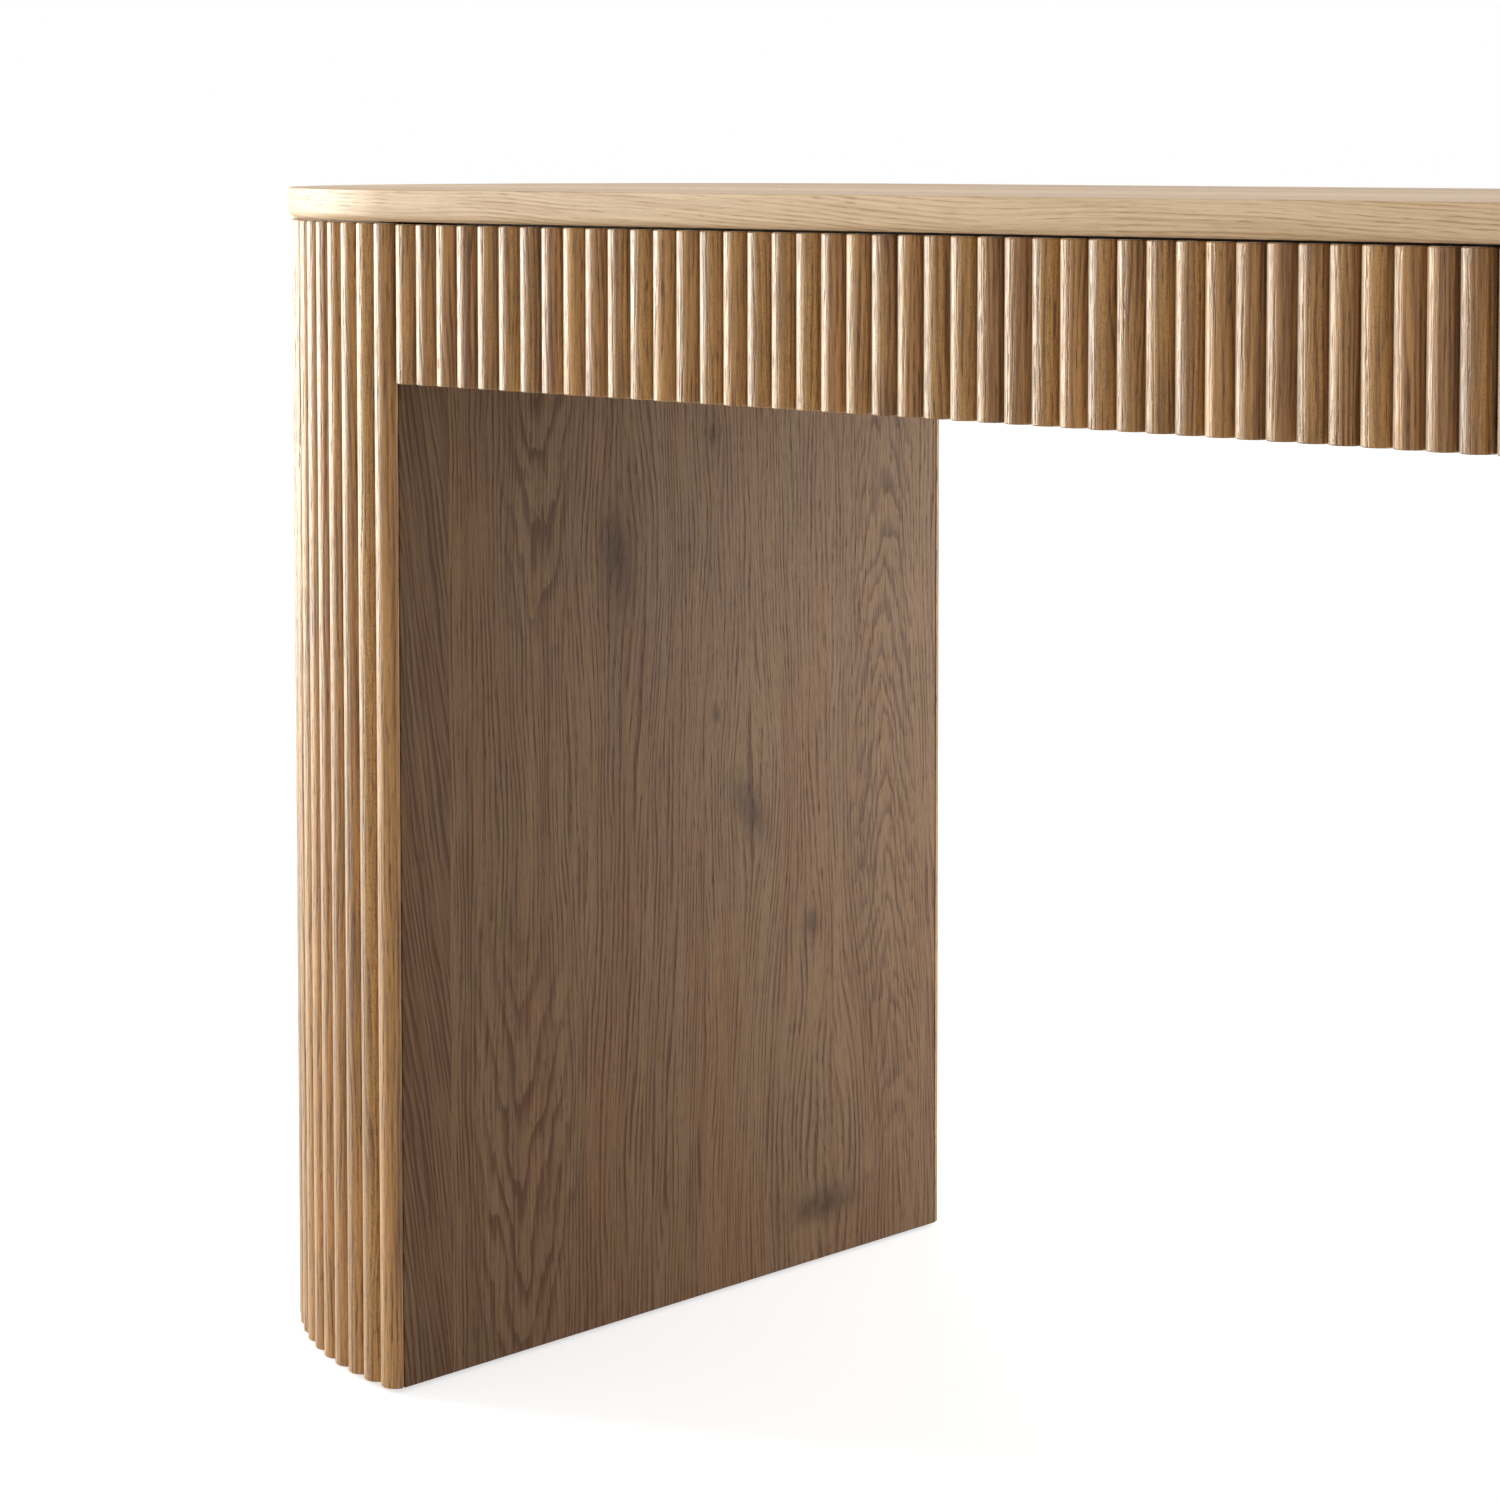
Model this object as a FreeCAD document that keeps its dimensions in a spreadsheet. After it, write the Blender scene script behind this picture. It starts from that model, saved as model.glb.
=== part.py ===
"""Writing desk: a round-ended top on two half-round reeded legs, with a pair of
handleless drawers on ball-bearing slides hung between the legs.

Millimetres. X runs along the desk, Y from the front (-) to the back (+), Z up from the
floor. The origin lies on the floor under the middle of the top.
"""
import FreeCAD, Part
import os
import Sketcher
from FreeCAD import Placement, Rotation, Vector

SIZES = {
    # Top: a board with half-round ends
    "desk_height": 762,
    "top_thickness": 20,
    "top_overhang": 2,
    "top_upper_round": 1,
    "top_lower_round": 5,
    "end_radius": 265,
    # Half-round reeds, glued side by side on a flat or a bent ground
    "reed_width": 18.2,
    "reed_depth": 8.5,
    "reed_shoulder": 1.25,
    "reed_gap": 0.8,
    "leg_reed_gap": 0.3,
    "reed_top_gap": 1,
    "drawer_reed_count": 42,
    "glue_line": 0.1,
    # Legs: flat inner panel, bent skin, D-shaped ribs, felt glides
    "panel_thickness": 18,
    "panel_edge_gap": 0.8,
    "skin_thickness": 6,
    "rib_thickness": 18,
    "rib_count": 4,
    "glide_height": 3,
    "glide_radius": 15,
    "glide_inset": 33,
    "glide_count": 4,
    "glide_spread_angle": 50,
    # Case between the legs
    "case_board": 15,
    "case_bottom_thickness": 12,
    "divider_thickness": 18,
    "top_rail_thickness": 12,
    "top_rail_width": 50,
    # Drawer fronts
    "reveal": 2.5,
    "top_reveal": 1.5,
    "front_board": 16,
    "front_clearance": 1.5,
    "finger_lip": 10,
    # Drawer boxes
    "box_board": 12,
    "box_bottom_thickness": 6,
    "box_height": 58,
    "box_back_room": 58,
    "box_floor_gap": 5,
    "box_headroom": 3.5,
    "groove_depth": 6,
    "groove_height": 8,
    "groove_play": 0.1,
    # Three-member slides
    "slide_height": 35,
    "slide_thickness": 12.7,
    "slide_steel": 1.2,
    "slide_lift": 10,
    "slide_inset": 1,
    "slide_back_room": 17.5,
    "track_depth": 0.6,
    "fixed_reach": 9.4,
    "middle_setback": 2.4,
    "middle_reach": 10.4,
    "moving_setback": 5,
    "ball_radius": 2,
    "ball_gap": 0.2,
    "ball_line": 7,
    "ball_count": 6,
    "ball_end": 15,
    "cage_share": 0.45,
    "cage_strip": 1,
    "cage_plate": 0.5,
    "cage_reach": 10,
    # Fasteners
    "fit_clearance": 0.1,
    "rail_screw_head": 3.2,
    "rail_screw_radius": 1.75,
    "rail_screw_length": 7.4,
    "rail_screw_count": 3,
    "rail_screw_end": 50,
    "rail_screw_offset": 6,
    "case_screw_head": 4.5,
    "case_screw_head_height": 3,
    "case_screw_radius": 2.5,
    "case_screw_length": 48,
    "case_screw_count": 3,
    "case_screw_inset": 73,
    "case_screw_rise": 22,
    "apron_screw_count": 5,
    "apron_screw_inset": 122,
    "top_screw_head": 4,
    "top_screw_head_height": 2.5,
    "top_screw_radius": 2,
    "top_screw_bite": 12,
    "top_screw_count": 3,
    "top_screw_inset": 89,
    "bolt_head": 5,
    "bolt_head_height": 4,
    "bolt_radius": 3,
    "bolt_bite": 12,
    "bolt_inset": 60,
    "insert_radius": 5,
    "insert_length": 13,
    "dowel_radius": 3,
    "dowel_length": 24,
    "dowel_front_bite": 10,
    "dowel_side_bite": 8,
}

DERIVED = {
    # Plan
    "reed_pitch": "Sizes.reed_width + Sizes.reed_gap",
    "reed_rise": "Sizes.reed_depth - Sizes.reed_shoulder",
    "reed_radius": "((Sizes.reed_width / 2) ^ 2 + reed_rise ^ 2) / (2 * reed_rise)",
    "front_width": "Sizes.drawer_reed_count * reed_pitch",
    "knee_width": "2 * front_width + 3 * Sizes.reveal",
    "leg_x": "knee_width / 2",
    "crest_radius": "Sizes.end_radius - Sizes.top_overhang",
    "ground_radius": "crest_radius - Sizes.reed_depth",
    "skin_radius": "ground_radius - Sizes.glue_line",
    "skin_inside": "skin_radius - Sizes.skin_thickness",
    "rib_radius": "skin_inside - Sizes.glue_line",
    "panel_half": "ground_radius - Sizes.panel_edge_gap",
    "leg_reeds": "floor(pi * ground_radius / (Sizes.reed_width + Sizes.leg_reed_gap))",
    "leg_reed_step": "180 / leg_reeds",
    "apron_reeds": "floor(knee_width / reed_pitch)",
    # Levels
    "underside": "Sizes.desk_height - Sizes.top_thickness",
    "leg_height": "underside - Sizes.glide_height",
    "rib_pitch": "(leg_height - Sizes.rib_thickness) / (Sizes.rib_count - 1)",
    "top_rail_under": "underside - Sizes.top_rail_thickness",
    "box_top": "top_rail_under - Sizes.box_headroom",
    "box_low": "box_top - Sizes.box_height",
    "case_floor": "box_low - Sizes.box_floor_gap",
    "case_under": "case_floor - Sizes.case_bottom_thickness",
    "case_height": "underside - case_under",
    "front_bottom": "case_under - Sizes.finger_lip",
    "front_height": "underside - Sizes.top_reveal - front_bottom",
    "groove_low": "box_low + Sizes.groove_height",
    "groove_width": "Sizes.box_bottom_thickness + 2 * Sizes.groove_play",
    "box_floor": "groove_low + Sizes.groove_play + Sizes.box_bottom_thickness",
    "slide_z": "case_floor + Sizes.slide_lift + Sizes.slide_height / 2",
    # Front to back
    "front_ground": "-ground_radius",
    "front_rear": "front_ground + Sizes.front_board",
    "case_front": "front_rear + Sizes.front_clearance",
    "case_rear": "ground_radius - Sizes.case_board",
    "case_depth": "case_rear - case_front",
    "case_mid": "(case_front + case_rear) / 2",
    "box_rear": "case_rear - Sizes.box_back_room",
    "box_length": "box_rear - front_rear",
    "slide_front": "case_front + Sizes.slide_inset",
    "slide_length": "box_rear - Sizes.slide_back_room - slide_front",
    "slide_mid": "slide_front + slide_length / 2",
    "cage_length": "Sizes.cage_share * slide_length",
    "ball_spacing": "(cage_length - 2 * Sizes.ball_end) / (Sizes.ball_count - 1)",
    # Along the desk
    "case_inner": "leg_x - Sizes.case_board",
    "bay_width": "case_inner - Sizes.divider_thickness / 2",
    "bay_x": "(case_inner + Sizes.divider_thickness / 2) / 2",
    "front_x": "(leg_x - Sizes.reveal / 2) / 2",
    "box_width": "bay_width - 2 * Sizes.slide_thickness",
    "box_inside": "box_width - 2 * Sizes.box_board",
    "bottom_width": "box_inside + 2 * (Sizes.groove_depth - Sizes.groove_play)",
    # Slide sections, measured from the mid-height of the slide
    "fixed_half": "Sizes.slide_height / 2",
    "fixed_face": "fixed_half - Sizes.slide_steel - Sizes.track_depth",
    "outer_ball": "fixed_half - Sizes.slide_steel - Sizes.ball_gap - Sizes.ball_radius",
    "middle_half": "outer_ball - Sizes.ball_radius - Sizes.ball_gap + Sizes.track_depth",
    "middle_face": "middle_half - 2 * Sizes.track_depth - Sizes.slide_steel",
    "inner_ball": "middle_face + Sizes.track_depth - Sizes.ball_gap - Sizes.ball_radius",
    "moving_half": "inner_ball - Sizes.ball_radius - Sizes.ball_gap + Sizes.track_depth",
    "moving_face": "moving_half - Sizes.track_depth - Sizes.slide_steel",
    "track_radius": "Sizes.ball_radius + Sizes.ball_gap",
    "middle_web": "Sizes.middle_setback + Sizes.slide_steel",
    "moving_web": "Sizes.slide_thickness - Sizes.slide_steel",
    "outer_cage": "(Sizes.slide_steel + Sizes.middle_setback - Sizes.cage_plate) / 2",
    "inner_cage": "(middle_web + Sizes.moving_setback - Sizes.cage_plate) / 2",
    # Fasteners
    "bolt_high": "(slide_z + fixed_half + top_rail_under) / 2",
    "bolt_front": "case_front + Sizes.bolt_inset",
    "bolt_rear": "(slide_front + slide_length + ground_radius - Sizes.case_screw_length) / 2",
    "bolt_length": "Sizes.bolt_head_height + Sizes.case_board + Sizes.bolt_bite",
    "top_screw_length": "Sizes.top_rail_thickness + Sizes.top_screw_bite",
    "rail_screw_spacing": "(slide_length - 2 * Sizes.rail_screw_end) / (Sizes.rail_screw_count - 1)",
    "case_screw_spacing": "(case_depth - 2 * Sizes.case_screw_inset) / (Sizes.case_screw_count - 1)",
    "apron_screw_spacing": "(knee_width - 2 * Sizes.apron_screw_inset) / (Sizes.apron_screw_count - 1)",
    "top_screw_spacing": "(bay_width - 2 * Sizes.top_screw_inset) / (Sizes.top_screw_count - 1)",
    "dowel_high": "(3 * box_top + box_floor) / 4",
    "dowel_low": "(box_top + 3 * box_floor) / 4",
}

SIDES = {"left": -1, "right": 1}

doc = FreeCAD.newDocument("WritingDesk")
subparts = []


def fill(sheet, rows, lead=""):
    """Writes one named cell per row."""
    for line, (alias, content) in enumerate(rows.items(), start=1):
        sheet.set(f"A{line}", alias)
        sheet.set(f"B{line}", f"{lead}{content}")
        sheet.setAlias(f"B{line}", alias)


sizes = doc.addObject("Spreadsheet::Sheet", "Sizes")
fill(sizes, SIZES)
derived = doc.addObject("Spreadsheet::Sheet", "Derived")
fill(derived, DERIVED, "=")
doc.recompute()


def size(name):
    """The number in a named cell of either sheet."""
    return float(getattr(derived if name in DERIVED else sizes, name))


def place(item, x="0", y="0", z="0", turn=0):
    """Binds an object's position, turned about Z by a fixed angle."""
    item.Placement = Placement(Vector(), Rotation(Vector(0, 0, 1), turn))
    for axis, expression in zip("xyz", (x, y, z)):
        item.setExpression(f".Placement.Base.{axis}", expression)
    return item


def keep(item, label):
    """Takes an object into the list of sub-parts under its own label."""
    item.Label = label
    subparts.append(item)
    return item


def bind_distance(sketch, kind, geometry, end, expression):
    """Ties the distance of one end of a sketch element from the sketch's origin to an expression."""
    point = sketch.getPoint(geometry, end)
    start = point.x if kind == "DistanceX" else point.y
    index = sketch.addConstraint(Sketcher.Constraint(kind, -1, 1, geometry, end, start))
    name = f"{kind}_{geometry}_{end}"
    sketch.renameConstraint(index, name)
    sketch.setExpression(f"Constraints.{name}", expression)


def bind_point(sketch, geometry, end, x, y):
    """Ties one end of a sketch element to two expressions."""
    bind_distance(sketch, "DistanceX", geometry, end, x)
    bind_distance(sketch, "DistanceY", geometry, end, y)


def bind_radius(sketch, geometry, expression):
    """Ties the radius of a circle or an arc to an expression."""
    radius = sketch.Geometry[geometry].Radius
    index = sketch.addConstraint(Sketcher.Constraint("Radius", geometry, radius))
    sketch.renameConstraint(index, f"Radius_{geometry}")
    sketch.setExpression(f"Constraints.Radius_{geometry}", expression)


def join(sketch, *pairs):
    """Makes the end of one element meet the start of the next."""
    for first, second in pairs:
        sketch.addConstraint(Sketcher.Constraint("Coincident", first, 2, second, 1))


def new_sketch(body, name, role):
    """An empty sketch on one of the body's own origin planes."""
    sketch = body.newObject("Sketcher::SketchObject", name)
    plane = next(item for item in body.Origin.OriginFeatures if item.Role == role)
    sketch.AttachmentSupport = [(plane, "")]
    sketch.MapMode = "FlatFace"
    return sketch


def polygon(sketch, points):
    """A closed outline whose corners are pairs of expressions."""
    count = len(points)
    ring = [Rotation(Vector(0, 0, 1), 360 * i / count).multVec(Vector(9, 0, 0)) for i in range(count)]
    for i in range(count):
        sketch.addGeometry(Part.LineSegment(ring[i], ring[(i + 1) % count]))
    join(sketch, *[(i, (i + 1) % count) for i in range(count)])
    for i, (x, y) in enumerate(points):
        bind_point(sketch, i, 1, x, y)


def circles(sketch, rows):
    """Circles given by the expressions of their centres and radii."""
    for i, (x, y, radius) in enumerate(rows):
        sketch.addGeometry(Part.Circle(Vector(9, 9 * i, 0), Vector(0, 0, 1), 1))
        bind_point(sketch, i, 3, x, y)
        bind_radius(sketch, i, radius)


def pad(body, sketch, length, symmetric=False):
    """Extrudes a sketch by a bound length."""
    feature = body.newObject("PartDesign::Pad", f"{body.Name}_pad")
    feature.Profile = sketch
    feature.setExpression("Length", length)
    feature.SideType = "Symmetric" if symmetric else "One side"
    doc.recompute()
    return feature


def block(name, length, width, height, x, y, z):
    """A square-edged board given by its sizes and its lowest corner."""
    item = doc.addObject("Part::Box", name)
    for side, expression in (("Length", length), ("Width", width), ("Height", height)):
        item.setExpression(side, expression)
    return place(item, x, y, z)


def cut(name, blank, *tools):
    """A blank less a set of tool shapes."""
    tool = doc.addObject("Part::Feature", f"{name}_tools")
    tool.Shape = Part.makeCompound(tools)
    item = doc.addObject("Part::Cut", name)
    item.Base = blank
    item.Tool = tool
    return item


def copies(name, pattern, places):
    """A group of separate solids, one at each place."""
    solids = []
    for spot in places:
        solid = pattern.Shape.copy()
        solid.Placement = spot
        solids.append(solid)
    item = doc.addObject("Part::Feature", name)
    item.Shape = Part.makeCompound(solids)
    item.Placement = Placement()
    return item


def turned(name, points):
    """A piece turned about Z from a half profile of radius and height."""
    body = doc.addObject("PartDesign::Body", name)
    sketch = new_sketch(body, f"{name}_profile", "XZ_Plane")
    polygon(sketch, points)
    feature = body.newObject("PartDesign::Revolution", f"{name}_turning")
    feature.Profile = sketch
    feature.ReferenceAxis = (sketch, ["V_Axis"])
    doc.recompute()
    return body


def aimed(point, direction):
    """The place of a fastener whose head lies at a point and whose tip looks along a direction."""
    return Placement(point, Rotation(Vector(0, 0, 1), direction))


def bore(spot, radius, depth):
    """A round hole from a fastener's place along its axis."""
    return Part.makeCylinder(radius, depth, spot.Base, spot.Rotation.multVec(Vector(0, 0, 1)))


def sunk(spot, wide, narrow, depth):
    """A countersink that narrows along a fastener's axis."""
    return Part.makeCone(wide, narrow, depth, spot.Base, spot.Rotation.multVec(Vector(0, 0, 1)))


def row(count, spacing):
    """Evenly spaced offsets about zero."""
    return [(i - (count - 1) / 2) * spacing for i in range(int(count))]


clearance = size("fit_clearance")
ALONG = Vector(1, 0, 0)
BACK = Vector(0, 1, 0)
UP = Vector(0, 0, 1)

# Places of the fasteners that join the case and hold the top and the legs to it

screw_z = size("case_under") + size("case_bottom_thickness") / 2
screw_levels = [size("case_floor") + size("case_screw_rise"), size("bolt_high")]
screw_lines = [size("case_mid") + y for y in row(size("case_screw_count"), size("case_screw_spacing"))]
side_screws = {
    name: [aimed(Vector(sign * size("leg_x"), y, screw_z), -sign * ALONG) for y in screw_lines]
    for name, sign in SIDES.items()
}
apron_screws = [
    aimed(Vector(x, size("ground_radius"), screw_z), -BACK)
    for x in row(size("apron_screw_count"), size("apron_screw_spacing"))
]
end_screws = {
    name: [aimed(Vector(sign * (size("leg_x") - size("case_board") / 2), size("ground_radius"), z), -BACK)
           for z in screw_levels]
    for name, sign in SIDES.items()
}
divider_rear_screws = [aimed(Vector(0, size("ground_radius"), z), -BACK) for z in screw_levels]
divider_low_screws = [aimed(Vector(0, y, size("case_under")), UP) for y in screw_lines]
bolt_spots = [
    (size("bolt_front"), size("bolt_high")),
    ((size("bolt_front") + size("bolt_rear")) / 2, size("bolt_high")),
    (size("bolt_rear"), size("bolt_high")),
    (size("bolt_rear"), size("slide_z")),
]
bolts = {
    name: [aimed(Vector(sign * size("case_inner"), y, z), sign * ALONG) for y, z in bolt_spots]
    for name, sign in SIDES.items()
}
rail_lines = (
    size("case_front") + size("top_rail_width") / 2,
    size("case_rear") - size("top_rail_width") / 2,
)
top_screws = {
    name: [aimed(Vector(sign * size("bay_x") + x, y, size("top_rail_under")), UP)
           for y in rail_lines for x in row(size("top_screw_count"), size("top_screw_spacing"))]
    for name, sign in SIDES.items()
}
all_top_screws = top_screws["left"] + top_screws["right"]


def case_screw_hole(spot):
    """Counterbore and shank hole of a case screw, right through both boards."""
    head = bore(spot, size("case_screw_head") + clearance, size("case_screw_head_height"))
    shank = bore(spot, size("case_screw_radius") + clearance, size("case_screw_length") + clearance)
    return head.fuse(shank)


def top_screw_hole(spot):
    """Countersink and shank hole of a screw that holds the top."""
    wide = size("top_screw_head") + clearance
    narrow = size("top_screw_radius") + clearance
    head = sunk(spot, wide, narrow, size("top_screw_head_height"))
    return head.fuse(bore(spot, narrow, size("top_screw_length") + clearance))


# Slides: places on the four walls, screw places on the walls and on the drawers

walls = {}
for bay, sign in SIDES.items():
    for hand, facing in (("left", 1), ("right", -1)):
        wall_x = sign * size("bay_x") - facing * size("bay_width") / 2
        expression = f"{sign} * Derived.bay_x - {facing} * Derived.bay_width / 2"
        walls[bay, hand] = (facing, wall_x, expression)
screw_offsets = [y + size("rail_screw_offset") for y in row(size("rail_screw_count"), size("rail_screw_spacing"))]


def rail_screw_spots(bay, hand, depth, toward):
    """Screw places on one slide, at a depth from its wall, aimed to the wall or to the drawer."""
    facing, wall_x, _ = walls[bay, hand]
    return [
        aimed(Vector(wall_x + facing * depth, size("slide_mid") + facing * y, size("slide_z")),
              toward * facing * ALONG)
        for y in screw_offsets
    ]


fixed_screws = {key: rail_screw_spots(*key, size("slide_steel"), -1) for key in walls}
moving_screws = {key: rail_screw_spots(*key, size("moving_web"), 1) for key in walls}


def rail_screw_hole(spot):
    """Pilot hole of a rail screw in a board."""
    return bore(spot, size("rail_screw_radius") + clearance, size("rail_screw_length") + clearance)


# Top

top_body = doc.addObject("PartDesign::Body", "desktop_board")
stadium = new_sketch(top_body, "desktop_outline", "XY_Plane")
end_x, end_y = size("leg_x"), size("end_radius")
stadium.addGeometry(Part.LineSegment(Vector(-end_x, -end_y), Vector(end_x, -end_y)))
stadium.addGeometry(Part.ArcOfCircle(Part.Circle(Vector(end_x, 0), UP, end_y), -1.5708, 1.5708))
stadium.addGeometry(Part.LineSegment(Vector(end_x, end_y), Vector(-end_x, end_y)))
stadium.addGeometry(Part.ArcOfCircle(Part.Circle(Vector(-end_x, 0), UP, end_y), 1.5708, 4.7124))
join(stadium, (0, 1), (1, 2), (2, 3), (3, 0))
bind_point(stadium, 0, 1, "-Derived.leg_x", "-Sizes.end_radius")
bind_point(stadium, 0, 2, "Derived.leg_x", "-Sizes.end_radius")
bind_point(stadium, 2, 1, "Derived.leg_x", "Sizes.end_radius")
bind_point(stadium, 2, 2, "-Derived.leg_x", "Sizes.end_radius")
for arc, centre in ((1, "Derived.leg_x"), (3, "-Derived.leg_x")):
    bind_distance(stadium, "DistanceX", arc, 3, centre)
top_feature = pad(top_body, stadium, "Sizes.top_thickness")
for name, level, radius in (
    ("lower_round", 0, "Sizes.top_lower_round"),
    ("upper_round", size("top_thickness"), "Sizes.top_upper_round"),
):
    edges = [
        f"Edge{i}" for i, edge in enumerate(top_feature.Shape.Edges, start=1)
        if all(abs(corner.Z - level) < 1e-6 for corner in edge.Vertexes)
    ]
    rounding = top_body.newObject("PartDesign::Fillet", name)
    rounding.Base = (top_feature, edges)
    rounding.setExpression("Radius", radius)
    doc.recompute()
    top_feature = rounding
place(top_body, z="Derived.underside")
keep(cut("desktop", top_body, *map(top_screw_hole, all_top_screws)), "desktop")


# Reeds

def reed_profile(sketch, foot, across):
    """Half-round reed: a flat back, two short shoulders and one arc, its crest away from the foot.
    The profile lies along the sketch's X where across is true, and looks along it otherwise."""
    half = "Sizes.reed_width / 2"
    shoulder = f"({foot} + Sizes.reed_shoulder)"
    corners = [("-" + half, shoulder), ("-" + half, foot), (half, foot), (half, shoulder)]
    spots = [Vector(-9, 2), Vector(-9, 1), Vector(9, 1), Vector(9, 2)]
    circle, first, last = Part.Circle(Vector(0, 0, 0), UP, 9.3), 0.2, 2.9
    if not across:
        corners = [(y, f"-({x})") for x, y in corners]
        spots = [Vector(spot.y, -spot.x) for spot in spots]
        first, last = first - 1.5708, last - 1.5708
    for i in range(3):
        sketch.addGeometry(Part.LineSegment(spots[i], spots[i + 1]))
    sketch.addGeometry(Part.ArcOfCircle(circle, first, last))
    join(sketch, (0, 1), (1, 2), (2, 3), (3, 0))
    for i in range(3):
        bind_point(sketch, i, 1, *corners[i])
    bind_point(sketch, 2, 2, *corners[3])
    centre = f"{foot} + Sizes.reed_depth - Derived.reed_radius"
    bind_distance(sketch, "DistanceY" if across else "DistanceX", 3, 3, centre)


def reed_row(label, count, height, x, y, z, turn):
    """A straight row of reeds, its middle at x, its backs on a plane of constant y."""
    body = doc.addObject("PartDesign::Body", label)
    body.AllowCompound = True
    sketch = new_sketch(body, f"{label}_profile", "XY_Plane")
    reed_profile(sketch, "0", True)
    one = pad(body, sketch, height)
    pattern = body.newObject("PartDesign::LinearPattern", f"{label}_row")
    pattern.Originals = [one]
    pattern.Direction = (sketch, ["H_Axis"])
    pattern.setExpression("Occurrences", count)
    pattern.setExpression("Length", f"({count} - 1) * Derived.reed_pitch")
    body.Tip = pattern
    first = f"({count} - 1) * Derived.reed_pitch / 2"
    place(body, f"{x} - {first}" if turn == 0 else f"{x} + {first}", y, z, turn)
    return keep(body, label)


# Legs, each built about the centre of its half-round with the curve towards +X

for name, sign in SIDES.items():
    turn = 0 if sign > 0 else 180
    leg_x = f"{sign} * Derived.leg_x"
    insert_holes = [
        bore(aimed(Vector(sign * size("leg_x"), spot.Base.y, spot.Base.z), sign * ALONG),
             size("insert_radius") + clearance, size("insert_length"))
        for spot in bolts[name]
    ]
    panel = block(
        f"{name}_panel_board", "Sizes.panel_thickness", "2 * Derived.panel_half", "Derived.leg_height",
        leg_x if sign > 0 else f"{leg_x} - Sizes.panel_thickness", "-Derived.panel_half", "Sizes.glide_height",
    )
    keep(cut(f"{name}_leg_panel", panel, *insert_holes), f"{name}_leg_panel")

    skin = doc.addObject("PartDesign::Body", f"{name}_leg_skin")
    ring = new_sketch(skin, f"{name}_skin_outline", "XY_Plane")
    near, inside, outside = size("panel_thickness"), size("skin_inside"), size("skin_radius")
    ring.addGeometry(Part.ArcOfCircle(Part.Circle(Vector(), UP, outside), -1.5, 1.5))
    ring.addGeometry(Part.LineSegment(Vector(near, outside), Vector(near, inside)))
    ring.addGeometry(Part.ArcOfCircle(Part.Circle(Vector(), UP, inside), -1.5, 1.5))
    ring.addGeometry(Part.LineSegment(Vector(near, -inside), Vector(near, -outside)))
    join(ring, (0, 1), (3, 0))
    ring.addConstraint(Sketcher.Constraint("Coincident", 1, 2, 2, 2))
    ring.addConstraint(Sketcher.Constraint("Coincident", 2, 1, 3, 1))
    for arc, radius in ((0, "Derived.skin_radius"), (2, "Derived.skin_inside")):
        ring.addConstraint(Sketcher.Constraint("Coincident", arc, 3, -1, 1))
        bind_radius(ring, arc, radius)
    for line, end in ((1, 1), (1, 2), (3, 1), (3, 2)):
        bind_distance(ring, "DistanceX", line, end, "Sizes.panel_thickness")
    pad(skin, ring, "Derived.leg_height")
    keep(place(skin, leg_x, "0", "Sizes.glide_height", turn), f"{name}_leg_skin")

    ribs = doc.addObject("PartDesign::Body", f"{name}_leg_ribs")
    ribs.AllowCompound = True
    dee = new_sketch(ribs, f"{name}_rib_outline", "XY_Plane")
    dee.addGeometry(Part.ArcOfCircle(Part.Circle(Vector(), UP, inside), -1.5, 1.5))
    dee.addGeometry(Part.LineSegment(Vector(near, inside), Vector(near, -inside)))
    join(dee, (0, 1), (1, 0))
    dee.addConstraint(Sketcher.Constraint("Coincident", 0, 3, -1, 1))
    bind_radius(dee, 0, "Derived.rib_radius")
    for end in (1, 2):
        bind_distance(dee, "DistanceX", 1, end, "Sizes.panel_thickness")
    one_rib = pad(ribs, dee, "Sizes.rib_thickness")
    stack = ribs.newObject("PartDesign::LinearPattern", f"{name}_rib_stack")
    stack.Originals = [one_rib]
    stack.Direction = (dee, ["N_Axis"])
    stack.setExpression("Occurrences", "Sizes.rib_count")
    stack.setExpression("Length", "Derived.leg_height - Sizes.rib_thickness")
    ribs.Tip = stack
    keep(place(ribs, leg_x, "0", "Sizes.glide_height", turn), f"{name}_leg_ribs")

    fan = doc.addObject("PartDesign::Body", f"{name}_leg_reeds")
    fan.AllowCompound = True
    profile = new_sketch(fan, f"{name}_reed_profile", "XY_Plane")
    reed_profile(profile, "Derived.ground_radius", False)
    one_reed = pad(fan, profile, "Derived.leg_height - Sizes.reed_top_gap")
    around = fan.newObject("PartDesign::PolarPattern", f"{name}_reed_fan")
    around.Originals = [one_reed]
    around.Axis = (profile, ["N_Axis"])
    around.setExpression("Occurrences", "Derived.leg_reeds")
    around.setExpression("Angle", "180 - Derived.leg_reed_step")
    fan.Tip = around
    place(fan, leg_x, "0", "Sizes.glide_height", turn - 90)
    fan.setExpression(".Placement.Rotation.Angle", f"{turn - 90} + Derived.leg_reed_step / 2")
    keep(fan, f"{name}_leg_reeds")

    glide = doc.addObject("Part::Cylinder", f"{name}_glide")
    glide.setExpression("Radius", "Sizes.glide_radius")
    glide.setExpression("Height", "Sizes.glide_height")
    doc.recompute()
    glide_ring = sign * (size("rib_radius") - size("glide_inset")) * ALONG
    glide_places = [
        Placement(Vector(sign * size("leg_x"), 0, 0) + Rotation(UP, angle).multVec(glide_ring), Rotation())
        for angle in row(size("glide_count"), size("glide_spread_angle"))
    ]
    keep(copies(f"{name}_leg_glides", glide, glide_places), f"{name}_leg_glides")


# Case

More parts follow.
